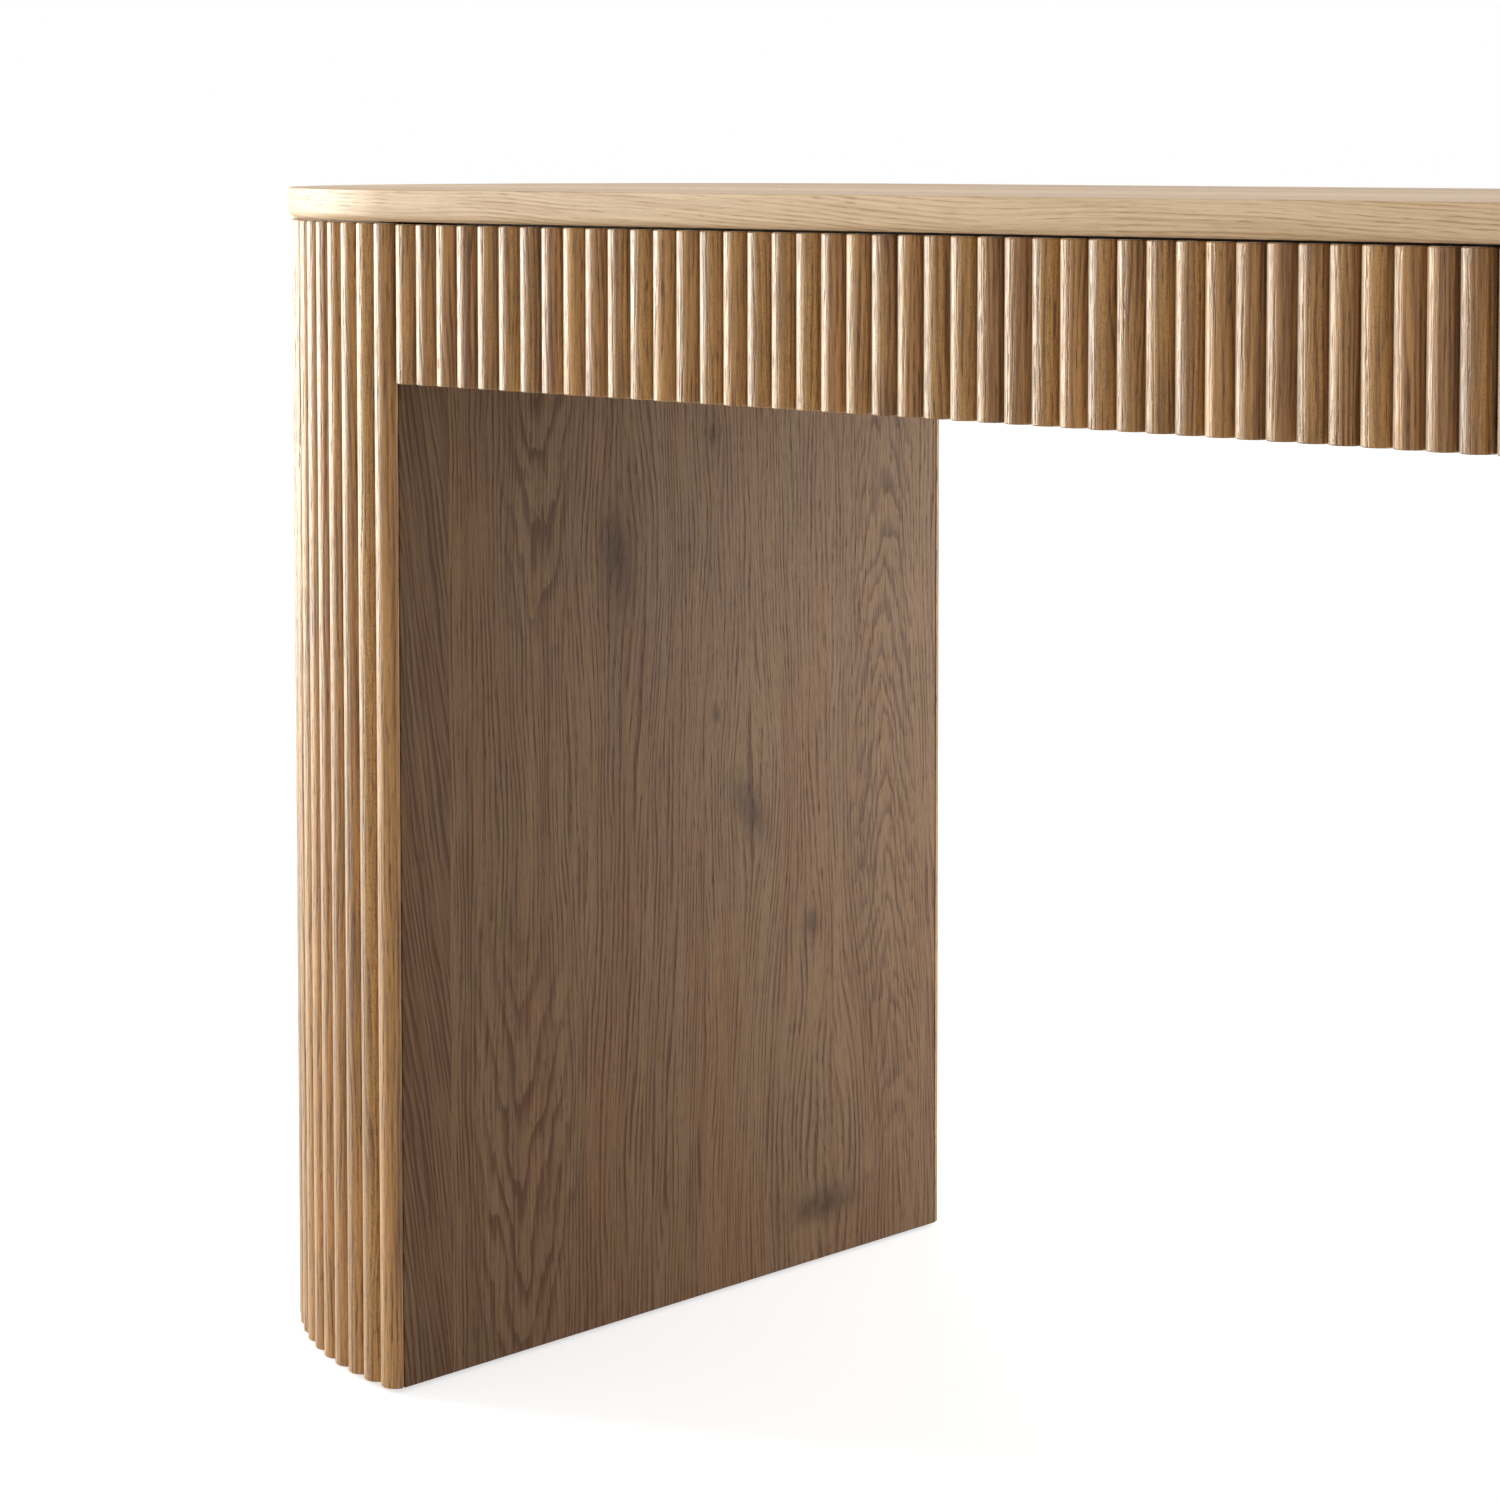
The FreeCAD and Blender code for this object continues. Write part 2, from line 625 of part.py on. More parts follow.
for name, sign in SIDES.items():
    side = block(
        f"case_{name}_board", "Sizes.case_board", "Derived.case_depth", "Derived.case_height",
        "Derived.case_inner" if sign > 0 else "-Derived.leg_x", "Derived.case_front", "Derived.case_under",
    )
    holes = [case_screw_hole(spot) for spot in side_screws[name] + end_screws[name]]
    holes += [bore(spot, size("bolt_radius") + clearance, size("case_board")) for spot in bolts[name]]
    holes += [rail_screw_hole(spot) for spot in fixed_screws[name, name]]
    keep(cut(f"case_{name}_side", side, *holes), f"case_{name}_side")

back = block(
    "case_back_board", "Derived.knee_width", "Sizes.case_board", "Derived.underside - Derived.front_bottom",
    "-Derived.leg_x", "Derived.case_rear", "Derived.front_bottom",
)
back_screws = apron_screws + divider_rear_screws + end_screws["left"] + end_screws["right"]
keep(cut("case_back", back, *map(case_screw_hole, back_screws)), "case_back")

bottom = block(
    "case_bottom_board", "2 * Derived.case_inner", "Derived.case_depth", "Sizes.case_bottom_thickness",
    "-Derived.case_inner", "Derived.case_front", "Derived.case_under",
)
bottom_screws = side_screws["left"] + side_screws["right"] + apron_screws + divider_low_screws
keep(cut("case_bottom", bottom, *map(case_screw_hole, bottom_screws)), "case_bottom")

divider = block(
    "case_divider_board", "Sizes.divider_thickness", "Derived.case_depth",
    "Derived.underside - Derived.case_floor",
    "-Sizes.divider_thickness / 2", "Derived.case_front", "Derived.case_floor",
)
divider_holes = [case_screw_hole(spot) for spot in divider_rear_screws + divider_low_screws]
divider_holes += [rail_screw_hole(spot) for spot in fixed_screws["left", "right"] + fixed_screws["right", "left"]]
keep(cut("case_divider", divider, *divider_holes), "case_divider")

top_rails = []
for name, sign in SIDES.items():
    for place_name, y in (("front", "Derived.case_front"), ("rear", "Derived.case_rear - Sizes.top_rail_width")):
        top_rails.append(block(
            f"{name}_{place_name}_rail", "Derived.bay_width", "Sizes.top_rail_width", "Sizes.top_rail_thickness",
            f"{sign} * Derived.bay_x - Derived.bay_width / 2", y, "Derived.top_rail_under",
        ))
rail_group = doc.addObject("Part::Compound", "top_rail_boards")
rail_group.Links = top_rails
keep(cut("case_top_rails", rail_group, *map(top_screw_hole, all_top_screws)), "case_top_rails")

reed_row("back_reeds", "Derived.apron_reeds", "Derived.underside - Derived.front_bottom - Sizes.reed_top_gap",
         "0", "Derived.ground_radius", "Derived.front_bottom", 0)

case_screw = turned("case_screw", [
    ("0", "0"),
    ("Sizes.case_screw_head", "0"),
    ("Sizes.case_screw_head", "Sizes.case_screw_head_height"),
    ("Sizes.case_screw_radius", "Sizes.case_screw_head_height"),
    ("Sizes.case_screw_radius", "Sizes.case_screw_length"),
    ("0", "Sizes.case_screw_length"),
])
case_screw_spots = back_screws + divider_low_screws + side_screws["left"] + side_screws["right"]
keep(copies("case_screws", case_screw, case_screw_spots), "case_screws")

top_screw = turned("top_screw", [
    ("0", "0"),
    ("Sizes.top_screw_head", "0"),
    ("Sizes.top_screw_radius", "Sizes.top_screw_head_height"),
    ("Sizes.top_screw_radius", "Derived.top_screw_length"),
    ("0", "Derived.top_screw_length"),
])
keep(copies("top_screws", top_screw, all_top_screws), "top_screws")

bolt = turned("leg_bolt", [
    ("0", "-Sizes.bolt_head_height"),
    ("Sizes.bolt_head", "-Sizes.bolt_head_height"),
    ("Sizes.bolt_head", "0"),
    ("Sizes.bolt_radius", "0"),
    ("Sizes.bolt_radius", "Sizes.case_board + Sizes.bolt_bite"),
    ("0", "Sizes.case_board + Sizes.bolt_bite"),
])
keep(copies("leg_bolts", bolt, bolts["left"] + bolts["right"]), "leg_bolts")

insert = turned("leg_insert", [
    ("Sizes.bolt_radius + Sizes.fit_clearance", "Sizes.case_board"),
    ("Sizes.insert_radius", "Sizes.case_board"),
    ("Sizes.insert_radius", "Sizes.case_board + Sizes.insert_length"),
    ("Sizes.bolt_radius + Sizes.fit_clearance", "Sizes.case_board + Sizes.insert_length"),
])
keep(copies("leg_inserts", insert, bolts["left"] + bolts["right"]), "leg_inserts")

rail_screw = turned("rail_screw", [
    ("0", "0"),
    ("Sizes.rail_screw_head", "0"),
    ("Sizes.rail_screw_radius", "Sizes.slide_steel"),
    ("Sizes.rail_screw_radius", "Sizes.rail_screw_length"),
    ("0", "Sizes.rail_screw_length"),
])
fixed_screw_spots = [spot for spots in fixed_screws.values() for spot in spots]
keep(copies("fixed_rail_screws", rail_screw, fixed_screw_spots), "fixed_rail_screws")


# Slides: channel sections drawn from the wall (sketch X) and from mid-height (sketch Y)

def channel(web, inside, reach, half, face):
    """Corners of a channel: back of the web, its inner side, end of the flanges, half height, flange face."""
    return [
        (web, f"-{half}"), (reach, f"-{half}"), (reach, f"-{face}"), (inside, f"-{face}"),
        (inside, face), (reach, face), (reach, half), (web, half),
    ]


RAILS = {
    "fixed": (
        channel("0", "Sizes.slide_steel", "Sizes.fixed_reach", "Derived.fixed_half", "Derived.fixed_face"),
        ["Derived.outer_ball"],
    ),
    "middle": (
        channel("Sizes.middle_setback", "Derived.middle_web", "Sizes.middle_reach",
                "Derived.middle_half", "Derived.middle_face"),
        ["Derived.outer_ball", "Derived.inner_ball"],
    ),
    "moving": (
        channel("Sizes.slide_thickness", "Derived.moving_web", "Sizes.moving_setback",
                "Derived.moving_half", "Derived.moving_face"),
        ["Derived.inner_ball"],
    ),
}


def rail(name, kind):
    """One member of a slide: a channel with a rolling track along each flange."""
    corners, lines = RAILS[kind]
    body = doc.addObject("PartDesign::Body", name)
    section = new_sketch(body, f"{name}_section", "XZ_Plane")
    polygon(section, corners)
    pad(body, section, "Derived.slide_length", symmetric=True)
    tracks = new_sketch(body, f"{name}_tracks", "XZ_Plane")
    circles(tracks, [
        ("Sizes.ball_line", f"{sign}{line}", "Derived.track_radius") for line in lines for sign in ("", "-")
    ])
    groove = body.newObject("PartDesign::Pocket", f"{name}_grooves")
    groove.Profile = tracks
    groove.Type = "Length"
    groove.SideType = "Symmetric"
    groove.setExpression("Length", "2 * Derived.slide_length")
    doc.recompute()
    return body


def sunk_rail(name, kind, depth, toward):
    """A rail with countersunk screw holes through its web."""
    wide = size("rail_screw_head") + clearance
    narrow = size("rail_screw_radius") + clearance
    holes = [
        sunk(aimed(Vector(depth, y, 0), toward * ALONG), wide, narrow, size("slide_steel"))
        for y in screw_offsets
    ]
    return cut(name, rail(f"{name}_channel", kind), *holes)


def cage(name, plate, line):
    """A ball cage: a thin plate with a strip above and below, each with a row of ball holes."""
    body = doc.addObject("PartDesign::Body", f"{name}_blank")
    section = new_sketch(body, f"{name}_section", "XZ_Plane")
    polygon(section, channel(
        plate, f"{plate} + Sizes.cage_plate", "Sizes.cage_reach",
        f"({line} + Sizes.cage_strip / 2)", f"({line} - Sizes.cage_strip / 2)",
    ))
    pad(body, section, "Derived.cage_length", symmetric=True)
    tall = 2 * size("slide_height")
    holes = [
        Part.makeCylinder(size("track_radius"), tall, Vector(size("ball_line"), y, -tall / 2))
        for y in row(size("ball_count"), size("ball_spacing"))
    ]
    item = cut(name, body, *holes)
    doc.recompute()
    return item


outer_cage = cage("outer_cage", "Derived.outer_cage", "Derived.outer_ball")
inner_cage = cage("inner_cage", "Derived.inner_cage", "Derived.inner_ball")
ball = doc.addObject("Part::Sphere", "ball")
ball.setExpression("Radius", "Sizes.ball_radius")
doc.recompute()


def slide_places(bay):
    """Where the middles of a drawer's two slides lie, and how they are turned."""
    return [
        Placement(Vector(walls[bay, hand][1], size("slide_mid"), size("slide_z")),
                  Rotation(UP, 0 if walls[bay, hand][0] > 0 else 180))
        for hand in SIDES
    ]


def ball_places(bay, level):
    """Both ball rows, above and below, of a drawer's two slides."""
    spots = [
        Vector(size("ball_line"), y, height)
        for y in row(size("ball_count"), size("ball_spacing")) for height in (level, -level)
    ]
    return [Placement(slide.multVec(spot), Rotation()) for slide in slide_places(bay) for spot in spots]


# Drawers

dowel = doc.addObject("Part::Cylinder", "dowel")
dowel.setExpression("Radius", "Sizes.dowel_radius")
dowel.setExpression("Height", "Sizes.dowel_length")
doc.recompute()
dowel_levels = (size("dowel_low"), size("dowel_high"))
dowel_hole = size("dowel_radius") + clearance
dowel_depth = size("dowel_length") + clearance

for bay, sign in SIDES.items():
    drawer = f"{bay}_drawer"
    bay_x = f"{sign} * Derived.bay_x"
    box_left = f"({bay_x} - Derived.box_width / 2)"
    box_centre = sign * size("bay_x")
    side_line = (size("box_width") - size("box_board")) / 2
    front_dowels = {
        hand: [aimed(Vector(box_centre + to * side_line, size("front_rear") - size("dowel_front_bite"), z), BACK)
               for z in dowel_levels]
        for hand, to in SIDES.items()
    }
    back_line = size("box_rear") - size("box_board") / 2
    back_reach = size("box_inside") / 2 + size("dowel_side_bite")
    back_dowels = {
        hand: [aimed(Vector(box_centre + to * back_reach, back_line, z), -to * ALONG) for z in dowel_levels]
        for hand, to in SIDES.items()
    }
    all_dowels = [spot for group in (front_dowels, back_dowels) for spots in group.values() for spot in spots]
    groove = Part.makeBox(
        size("bottom_width") + 2 * size("groove_play"),
        size("box_length") + size("groove_depth"),
        size("groove_width"),
        Vector(box_centre - size("bottom_width") / 2 - size("groove_play"),
               size("front_rear") - size("groove_depth"), size("groove_low")),
    )

    front = block(
        f"{drawer}_front_board", "Derived.front_width", "Sizes.front_board", "Derived.front_height",
        f"{sign} * Derived.front_x - Derived.front_width / 2", "Derived.front_ground", "Derived.front_bottom",
    )
    front_holes = [bore(spot, dowel_hole, dowel_depth) for spots in front_dowels.values() for spot in spots]
    keep(cut(f"{drawer}_front", front, groove, *front_holes), f"{drawer}_front")
    reed_row(f"{drawer}_reeds", "Sizes.drawer_reed_count", "Derived.front_height",
             f"{sign} * Derived.front_x", "Derived.front_ground", "Derived.front_bottom", 180)

    for hand, to in SIDES.items():
        side = block(
            f"{drawer}_{hand}_board", "Sizes.box_board", "Derived.box_length", "Sizes.box_height",
            box_left if to < 0 else f"{box_left} + Derived.box_width - Sizes.box_board",
            "Derived.front_rear", "Derived.box_low",
        )
        holes = [bore(spot, dowel_hole, dowel_depth) for spot in front_dowels[hand] + back_dowels[hand]]
        holes += [rail_screw_hole(spot) for spot in moving_screws[bay, hand]]
        keep(cut(f"{drawer}_{hand}_side", side, groove, *holes), f"{drawer}_{hand}_side")

    rear = block(
        f"{drawer}_back_board", "Derived.box_inside", "Sizes.box_board", "Derived.box_top - Derived.box_floor",
        f"{bay_x} - Derived.box_inside / 2", "Derived.box_rear - Sizes.box_board", "Derived.box_floor",
    )
    rear_holes = [bore(spot, dowel_hole, dowel_depth) for spots in back_dowels.values() for spot in spots]
    keep(cut(f"{drawer}_back", rear, *rear_holes), f"{drawer}_back")
    keep(block(
        f"{drawer}_bottom", "Derived.bottom_width",
        "Derived.box_length + Sizes.groove_depth - Sizes.groove_play", "Sizes.box_bottom_thickness",
        f"{bay_x} - Derived.bottom_width / 2", "Derived.front_rear - Sizes.groove_depth + Sizes.groove_play",
        "Derived.groove_low + Sizes.groove_play",
    ), f"{drawer}_bottom")
    keep(copies(f"{drawer}_dowels", dowel, all_dowels), f"{drawer}_dowels")

    for hand in SIDES:
        facing, _, wall_x = walls[bay, hand]
        members = {
            "fixed": sunk_rail(f"{drawer}_{hand}_fixed_rail", "fixed", size("slide_steel"), -1),
            "middle": rail(f"{drawer}_{hand}_middle_rail", "middle"),
            "moving": sunk_rail(f"{drawer}_{hand}_moving_rail", "moving", size("moving_web"), 1),
        }
        for kind, member in members.items():
            place(member, wall_x, "Derived.slide_mid", "Derived.slide_z", 0 if facing > 0 else 180)
            keep(member, f"{drawer}_{hand}_{kind}_rail")
    screw_spots = moving_screws[bay, "left"] + moving_screws[bay, "right"]
    keep(copies(f"{drawer}_rail_screws", rail_screw, screw_spots), f"{drawer}_rail_screws")
    keep(copies(f"{drawer}_outer_cages", outer_cage, slide_places(bay)), f"{drawer}_outer_cages")
    keep(copies(f"{drawer}_inner_cages", inner_cage, slide_places(bay)), f"{drawer}_inner_cages")
    keep(copies(f"{drawer}_outer_balls", ball, ball_places(bay, size("outer_ball"))), f"{drawer}_outer_balls")
    keep(copies(f"{drawer}_inner_balls", ball, ball_places(bay, size("inner_ball"))), f"{drawer}_inner_balls")

doc.recompute()

for item in doc.Objects:
    if "Invalid" in item.State or "Error" in item.State:
        raise RuntimeError(f"{item.Label}: {item.State}")
for item in subparts:
    if item.Shape.isNull() or not item.Shape.isValid() or not item.Shape.Solids:
        raise RuntimeError(f"{item.Label}: no valid solid")

os.makedirs("parts", exist_ok=True)
for item in subparts:
    item.Shape.exportStep(f"parts/{item.Label}.step")
print(len(subparts), "sub-parts")
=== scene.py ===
"""Writing desk in oak: a round-ended top, two half-round reeded legs and a pair of reeded drawers.

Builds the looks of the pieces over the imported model, in the same frame and in metres.
"""
import math

import bpy
import numpy as np
from bpy.props import FloatProperty, FloatVectorProperty, IntProperty, PointerProperty
from mathutils import Euler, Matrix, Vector


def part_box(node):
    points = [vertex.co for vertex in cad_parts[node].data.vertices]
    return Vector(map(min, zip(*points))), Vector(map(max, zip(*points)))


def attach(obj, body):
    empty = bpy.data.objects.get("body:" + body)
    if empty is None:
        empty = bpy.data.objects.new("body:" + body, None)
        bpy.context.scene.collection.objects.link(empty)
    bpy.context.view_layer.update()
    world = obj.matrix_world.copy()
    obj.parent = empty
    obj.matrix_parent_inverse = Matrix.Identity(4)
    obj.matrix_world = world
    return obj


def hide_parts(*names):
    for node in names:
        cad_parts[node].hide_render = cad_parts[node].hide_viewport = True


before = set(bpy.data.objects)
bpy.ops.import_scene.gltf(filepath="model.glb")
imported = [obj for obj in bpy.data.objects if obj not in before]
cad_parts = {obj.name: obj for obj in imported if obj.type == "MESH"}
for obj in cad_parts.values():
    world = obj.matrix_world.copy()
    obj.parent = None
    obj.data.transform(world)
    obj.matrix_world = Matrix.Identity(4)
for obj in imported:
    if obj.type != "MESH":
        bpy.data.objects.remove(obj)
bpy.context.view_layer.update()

bl_info = {
    "name": "Reeded writing desk",
    "version": (1, 0, 0),
    "blender": (4, 5, 0),
    "location": "3D View > Sidebar > Desk",
    "description": "Oak pieces, finishes and studio for a reeded writing desk",
    "category": "Add Mesh",
}

SIDES = ("left", "right")

# How the wood of the reeds differs from reed to reed. The legs' tints also run higher, which paints their
# reeds lighter: painted light for the key lamp that falls on the legs
LEG_SEEDS = (396, 3213)
LEG_TINTS_AND_LIGHT = (0.35, 1.30)
ROW_SEED = 11
ROW_TINTS = (0.25, 0.85)

# Edges that turn more than this stay crisp
SHARP_ANGLE = math.radians(40)

# Divisions of the curves
REED_STEPS = 12
EASE_STEPS = 3
TOP_END_STEPS, TOP_SIDE_STEPS, TOP_ROUND_STEPS = 72, 12, 5
GLIDE_STEPS = 32

# Felt glides of one leg, on an arc about the leg's axis
GLIDE_COUNT = 4
GLIDE_RADIUS = 0.015
GLIDE_SPREAD = math.radians(50)

# Veneer leaves in metres: where the first joint lies and how wide a leaf is
TOP_LEAVES = (-0.27, 0.067)
PANEL_LEAVES = (-0.214, 0.118)

# How far the leaves differ in shade, how much darker the panel's narrow leaf is and how its grain leans
TOP_SHADES, PANEL_SHADES = 0.7, 0.14
NARROW_DARKER, NARROW_LEAN = 0.20, 0.16
WARM_STREAK = (1.0, 0.93, 0.87, 1.0)

# Knots in the inner panels: across, up, width, height, lean and the reach of the grain that flows round
KNOTS = (
    (-0.066, 0.520, 0.013, 0.030, -0.3, 0.040),
    (0.025, 0.594, 0.005, 0.007, 0.0, 0.013),
    (0.028, 0.402, 0.004, 0.005, 0.0, 0.010),
    (0.060, 0.334, 0.012, 0.019, -0.5, 0.032),
    (0.123, 0.245, 0.006, 0.009, 0.0, 0.018),
    (0.132, 0.042, 0.034, 0.011, 0.0, 0.080),
)

# Flames in the inner panels: across, up, half width, half height, up or down, and the arches' spacing
FLAMES = (
    (0.197, 0.420, 0.034, 0.340, -1.0, 0.032),
    (-0.150, 0.110, 0.042, 0.150, 1.0, 0.052),
    (-0.133, 0.575, 0.030, 0.110, 1.0, 0.050),
)

# Layers of the bent plywood around a leg's axis
LEG_AXIS = 0.80175
LAYERS_PER_METRE = 660.0

# How much rougher than the satin each wood is, and the roughness of the other finishes
MATT = {"reeds": 0.10, "edge": 0.20, "top": 0.06, "panel": 0.22, "case": 0.06}
BOX_ROUGH, PLY_ROUGH, ZINC_ROUGH, SCREW_SHADE_ROUGH, BALL_ROUGH = 0.5, 0.6, 0.26, 0.55, 0.08
# Share of the zinc colour left on the case screws: painted shade, darkened so that they show no glint through
# the seams between the back reeds
SCREW_SHADE_SHARE = 0.28
BALL_COLOUR = (0.72, 0.72, 0.74)

# Depth of the bump in metres
BUMP_STRENGTH = 0.35
REED_BUMP, LEAF_BUMP, WOOD_BUMP, STEEL_BUMP, FELT_BUMP = 0.0010, 0.0004, 0.0003, 0.00008, 0.0012

# Pale bloom of the sanded reeds
SHEEN_WEIGHT, SHEEN_ROUGHNESS, SHEEN_TINT = 1.0, 0.35, (1.0, 0.94, 0.80, 1.0)

# Indices of refraction of the lacquered woods
REED_INDEX, EDGE_INDEX, TOP_INDEX, PANEL_INDEX, PLAIN_INDEX = 1.54, 1.34, 1.46, 1.34, 1.45

# Studio: the floor's half width and colour, and each lamp's place, the point it looks at, width and height
FLOOR_REACH = 40.0
FLOOR_COLOUR = (0.78, 0.84, 0.94, 1.0)
WHITE = (1.0, 1.0, 1.0, 1.0)
KEY = ((-6.6, -1.57, 1.5), (-0.3, 0.0, 0.7), 3.2, 2.9)
CARD = ((-4.6, -1.55, 1.28), (-0.3, 0.0, 0.7), 2.4, 2.4)
FILL = ((-0.1, 1.1, 0.43), (-0.8, 0.1, 0.4), 0.7, 0.6)
SENSOR = 36.0
CLIP = (0.05, 200.0)


def length(label, about, value):
    """A length in metres that a user may change."""
    return FloatProperty(name=label, description=about, default=value, min=0.0, unit="LENGTH", precision=5)


def colour(label, about, value):
    """A linear colour that a user may change."""
    return FloatVectorProperty(name=label, description=about, default=value, size=3, min=0.0, max=1.0,
                               subtype="COLOR")


def share(label, about, value, low=0.0, high=1.0):
    """A plain number that a user may change."""
    return FloatProperty(name=label, description=about, default=value, min=low, max=high)


class DeskSizes(bpy.types.PropertyGroup):
    """Sizes of the shaped pieces."""
    top_lower_round: length("Lower round", "Round along the underside of the top", 0.005)
    top_upper_round: length("Upper round", "Fine round along the upper edge of the top", 0.001)
    top_hem: length("Top hem", "Flat ring inside the rounds of the top", 0.002)
    reed_width: length("Reed width", "Width of one half-round reed", 0.0182)
    reed_shoulder: length("Reed shoulder", "Height of the straight side of a reed", 0.00125)
    reed_ease: length("Reed end", "Chamfer at the ends of a reed", 0.0006)
    board_ease: length("Board edge", "Sanded round along the edges of a board", 0.0007)
    felt_ease: length("Felt edge", "Round along the edge of a felt glide", 0.0008)
    leg_reed_count: IntProperty(name="Leg reeds", description="Reeds around one leg", default=43, min=3)
    front_reed_count: IntProperty(name="Front reeds", description="Reeds on one drawer front", default=42,
                                  min=2)
    back_reed_count: IntProperty(name="Back reeds", description="Reeds along the back", default=84, min=2)


class DeskFinish(bpy.types.PropertyGroup):
    """Colours and finishes."""
    reed_gold: colour("Golden reed", "Oak of the yellower reeds", (0.64, 0.342, 0.096))
    reed_blush: colour("Pinkish reed", "Oak of the pinker reeds", (0.63, 0.322, 0.100))
    reed_dark: colour("Reed grain", "Dark grain of the reeds", (0.18, 0.076, 0.026))
    top_light: colour("Top", "Pale oak of the top", (0.79, 0.57, 0.34))
    top_dark: colour("Top grain", "Darker grain of the top", (0.50, 0.30, 0.145))
    edge_light: colour("Edge", "Pale oak along the edge of the top", (0.80, 0.595, 0.375))
    panel_light: colour("Panel", "Oak veneer inside the legs", (0.258, 0.160, 0.087))
    panel_dark: colour("Panel grain", "Darker grain of that veneer", (0.098, 0.044, 0.019))
    box_light: colour("Drawer box", "Pale boards of the drawer boxes", (0.72, 0.57, 0.39))
    box_dark: colour("Drawer box grain", "Darker grain of those boards", (0.52, 0.37, 0.22))
    steel: colour("Steel", "Zinc-plated steel", (0.58, 0.59, 0.60))
    felt: colour("Felt", "Felt under the legs", (0.035, 0.03, 0.027))
    satin: share("Satin", "Roughness of the lacquered oak", 0.34)


class DeskStage(bpy.types.PropertyGroup):
    """Camera and studio."""
    place: FloatVectorProperty(name="Camera", description="Where the camera stands", size=3, subtype="XYZ",
                               unit="LENGTH", default=(0.98512, -1.78082, 0.787))
    turn: FloatProperty(name="Turn", description="Camera turned left from looking straight back",
                        default=0.76164, unit="ROTATION")
    tilt: FloatProperty(name="Tilt", description="Camera tilted down from level", default=0.06005,
                        unit="ROTATION")
    lens: FloatProperty(name="Lens", description="Focal length on a 36 mm sensor", default=90.142, min=1.0)
    rise: FloatVectorProperty(name="Shift", description="Shift of the lens", size=2, default=(-0.0217, -0.25))
    key_power: FloatProperty(name="Key light", description="Power of the large soft lamp on the left",
                             default=400.0, min=0.0, unit="POWER")
    card_power: FloatProperty(name="Card", description="Power of the card on the left that gloss alone shows",
                              default=300.0, min=0.0, unit="POWER")
    fill_power: FloatProperty(name="Fill light", description="Power of the soft lamp behind the knee room",
                              default=8.6, min=0.0, unit="POWER")
    key_tint: colour("Key tint", "Colour of the large lamp and the card", (1.0, 0.985, 0.90))
    ambient: share("Ambient", "Strength of the even light from all round", 0.55)
    ambient_tint: colour("Ambient tint", "Colour of the even light from all round", (1.0, 0.93, 0.83))
    floor_lift: share("Floor", "Share of white that the floor shows on its own", 0.62)


# Shapes

def flat_rounds(width, depth, radius, steps):
    """Outline of a rounded rectangle about the origin and its outward directions: four quarter circles,
    joined by straight sides, run anticlockwise."""
    turn = np.linspace(0, np.pi / 2, steps + 1)
    angle = (np.arange(4)[:, None] * np.pi / 2 + turn).ravel()
    outward = np.stack([np.cos(angle), np.sin(angle)], axis=1)
    corner = np.array([[1, 1], [-1, 1], [-1, -1], [1, -1]]) * [width / 2 - radius, depth / 2 - radius]
    return np.repeat(corner, steps + 1, axis=0) + radius * outward, outward


def round_ended(half, radius, arc_steps, side_steps):
    """Outline of a board with half-round ends and its outward directions: two half circles about
    x = +half and x = -half, with evenly divided straight sides between them, run anticlockwise."""
    arc = np.linspace(-np.pi / 2, np.pi / 2, arc_steps + 1)
    bow = np.stack([np.cos(arc), np.sin(arc)], axis=1)
    inner = np.linspace(half, -half, side_steps + 1)[1:-1]
    side_out = np.tile([0.0, 1.0], (side_steps - 1, 1))
    side = np.stack([inner, np.full_like(inner, radius)], axis=1)
    points = np.concatenate([bow * radius + [half, 0], side])
    outward = np.concatenate([bow, side_out])
    return np.concatenate([points, -points]), np.concatenate([outward, -outward])


def half_round(width, depth, shoulder, steps):
    """Outline of a reed and its outward directions: a flat back on y = 0, two straight shoulders and one
    arc whose crest lies at y = depth, run anticlockwise. At the back the direction has no y part, so a
    reed's eased ends stay flat on what it is glued to."""
    half, rise = width / 2, depth - shoulder
    radius = (half ** 2 + rise ** 2) / (2 * rise)
    centre = depth - radius
    reach = math.atan2(half, shoulder - centre)
    angle = np.linspace(reach, -reach, steps + 1)
    bow = np.stack([np.sin(angle), np.cos(angle)], axis=1)
    points = np.concatenate([[[-half, 0], [half, 0]], bow * radius + [0, centre]])
    outward = np.concatenate([[[-1, 0], [1, 0]], bow])
    return points, outward


def eased(outline, outward, height, low, high, steps, hem=0.0):
    """Rings of a prism: the outline drawn in by r(1 - sin a) at the height r(1 - cos a), a quarter round at
    the foot and another at the top. A hem adds one flat ring inside each end."""
    turn = np.linspace(0, np.pi / 2, steps + 1)
    foot = np.stack([low * (1 - np.cos(turn)), low * (1 - np.sin(turn))], axis=1)
    top = np.stack([height - high * (1 - np.cos(turn)), high * (1 - np.sin(turn))], axis=1)[::-1]
    rows = [foot, top]
    if hem:
        rows = [[[0.0, low + hem]], *rows, [[height, high + hem]]]
    level, inset = np.concatenate(rows).T
    flat = outline[None] - outward[None] * inset[:, None, None]
    return np.concatenate([flat, np.broadcast_to(level[:, None, None], flat.shape[:2] + (1,))], axis=2)


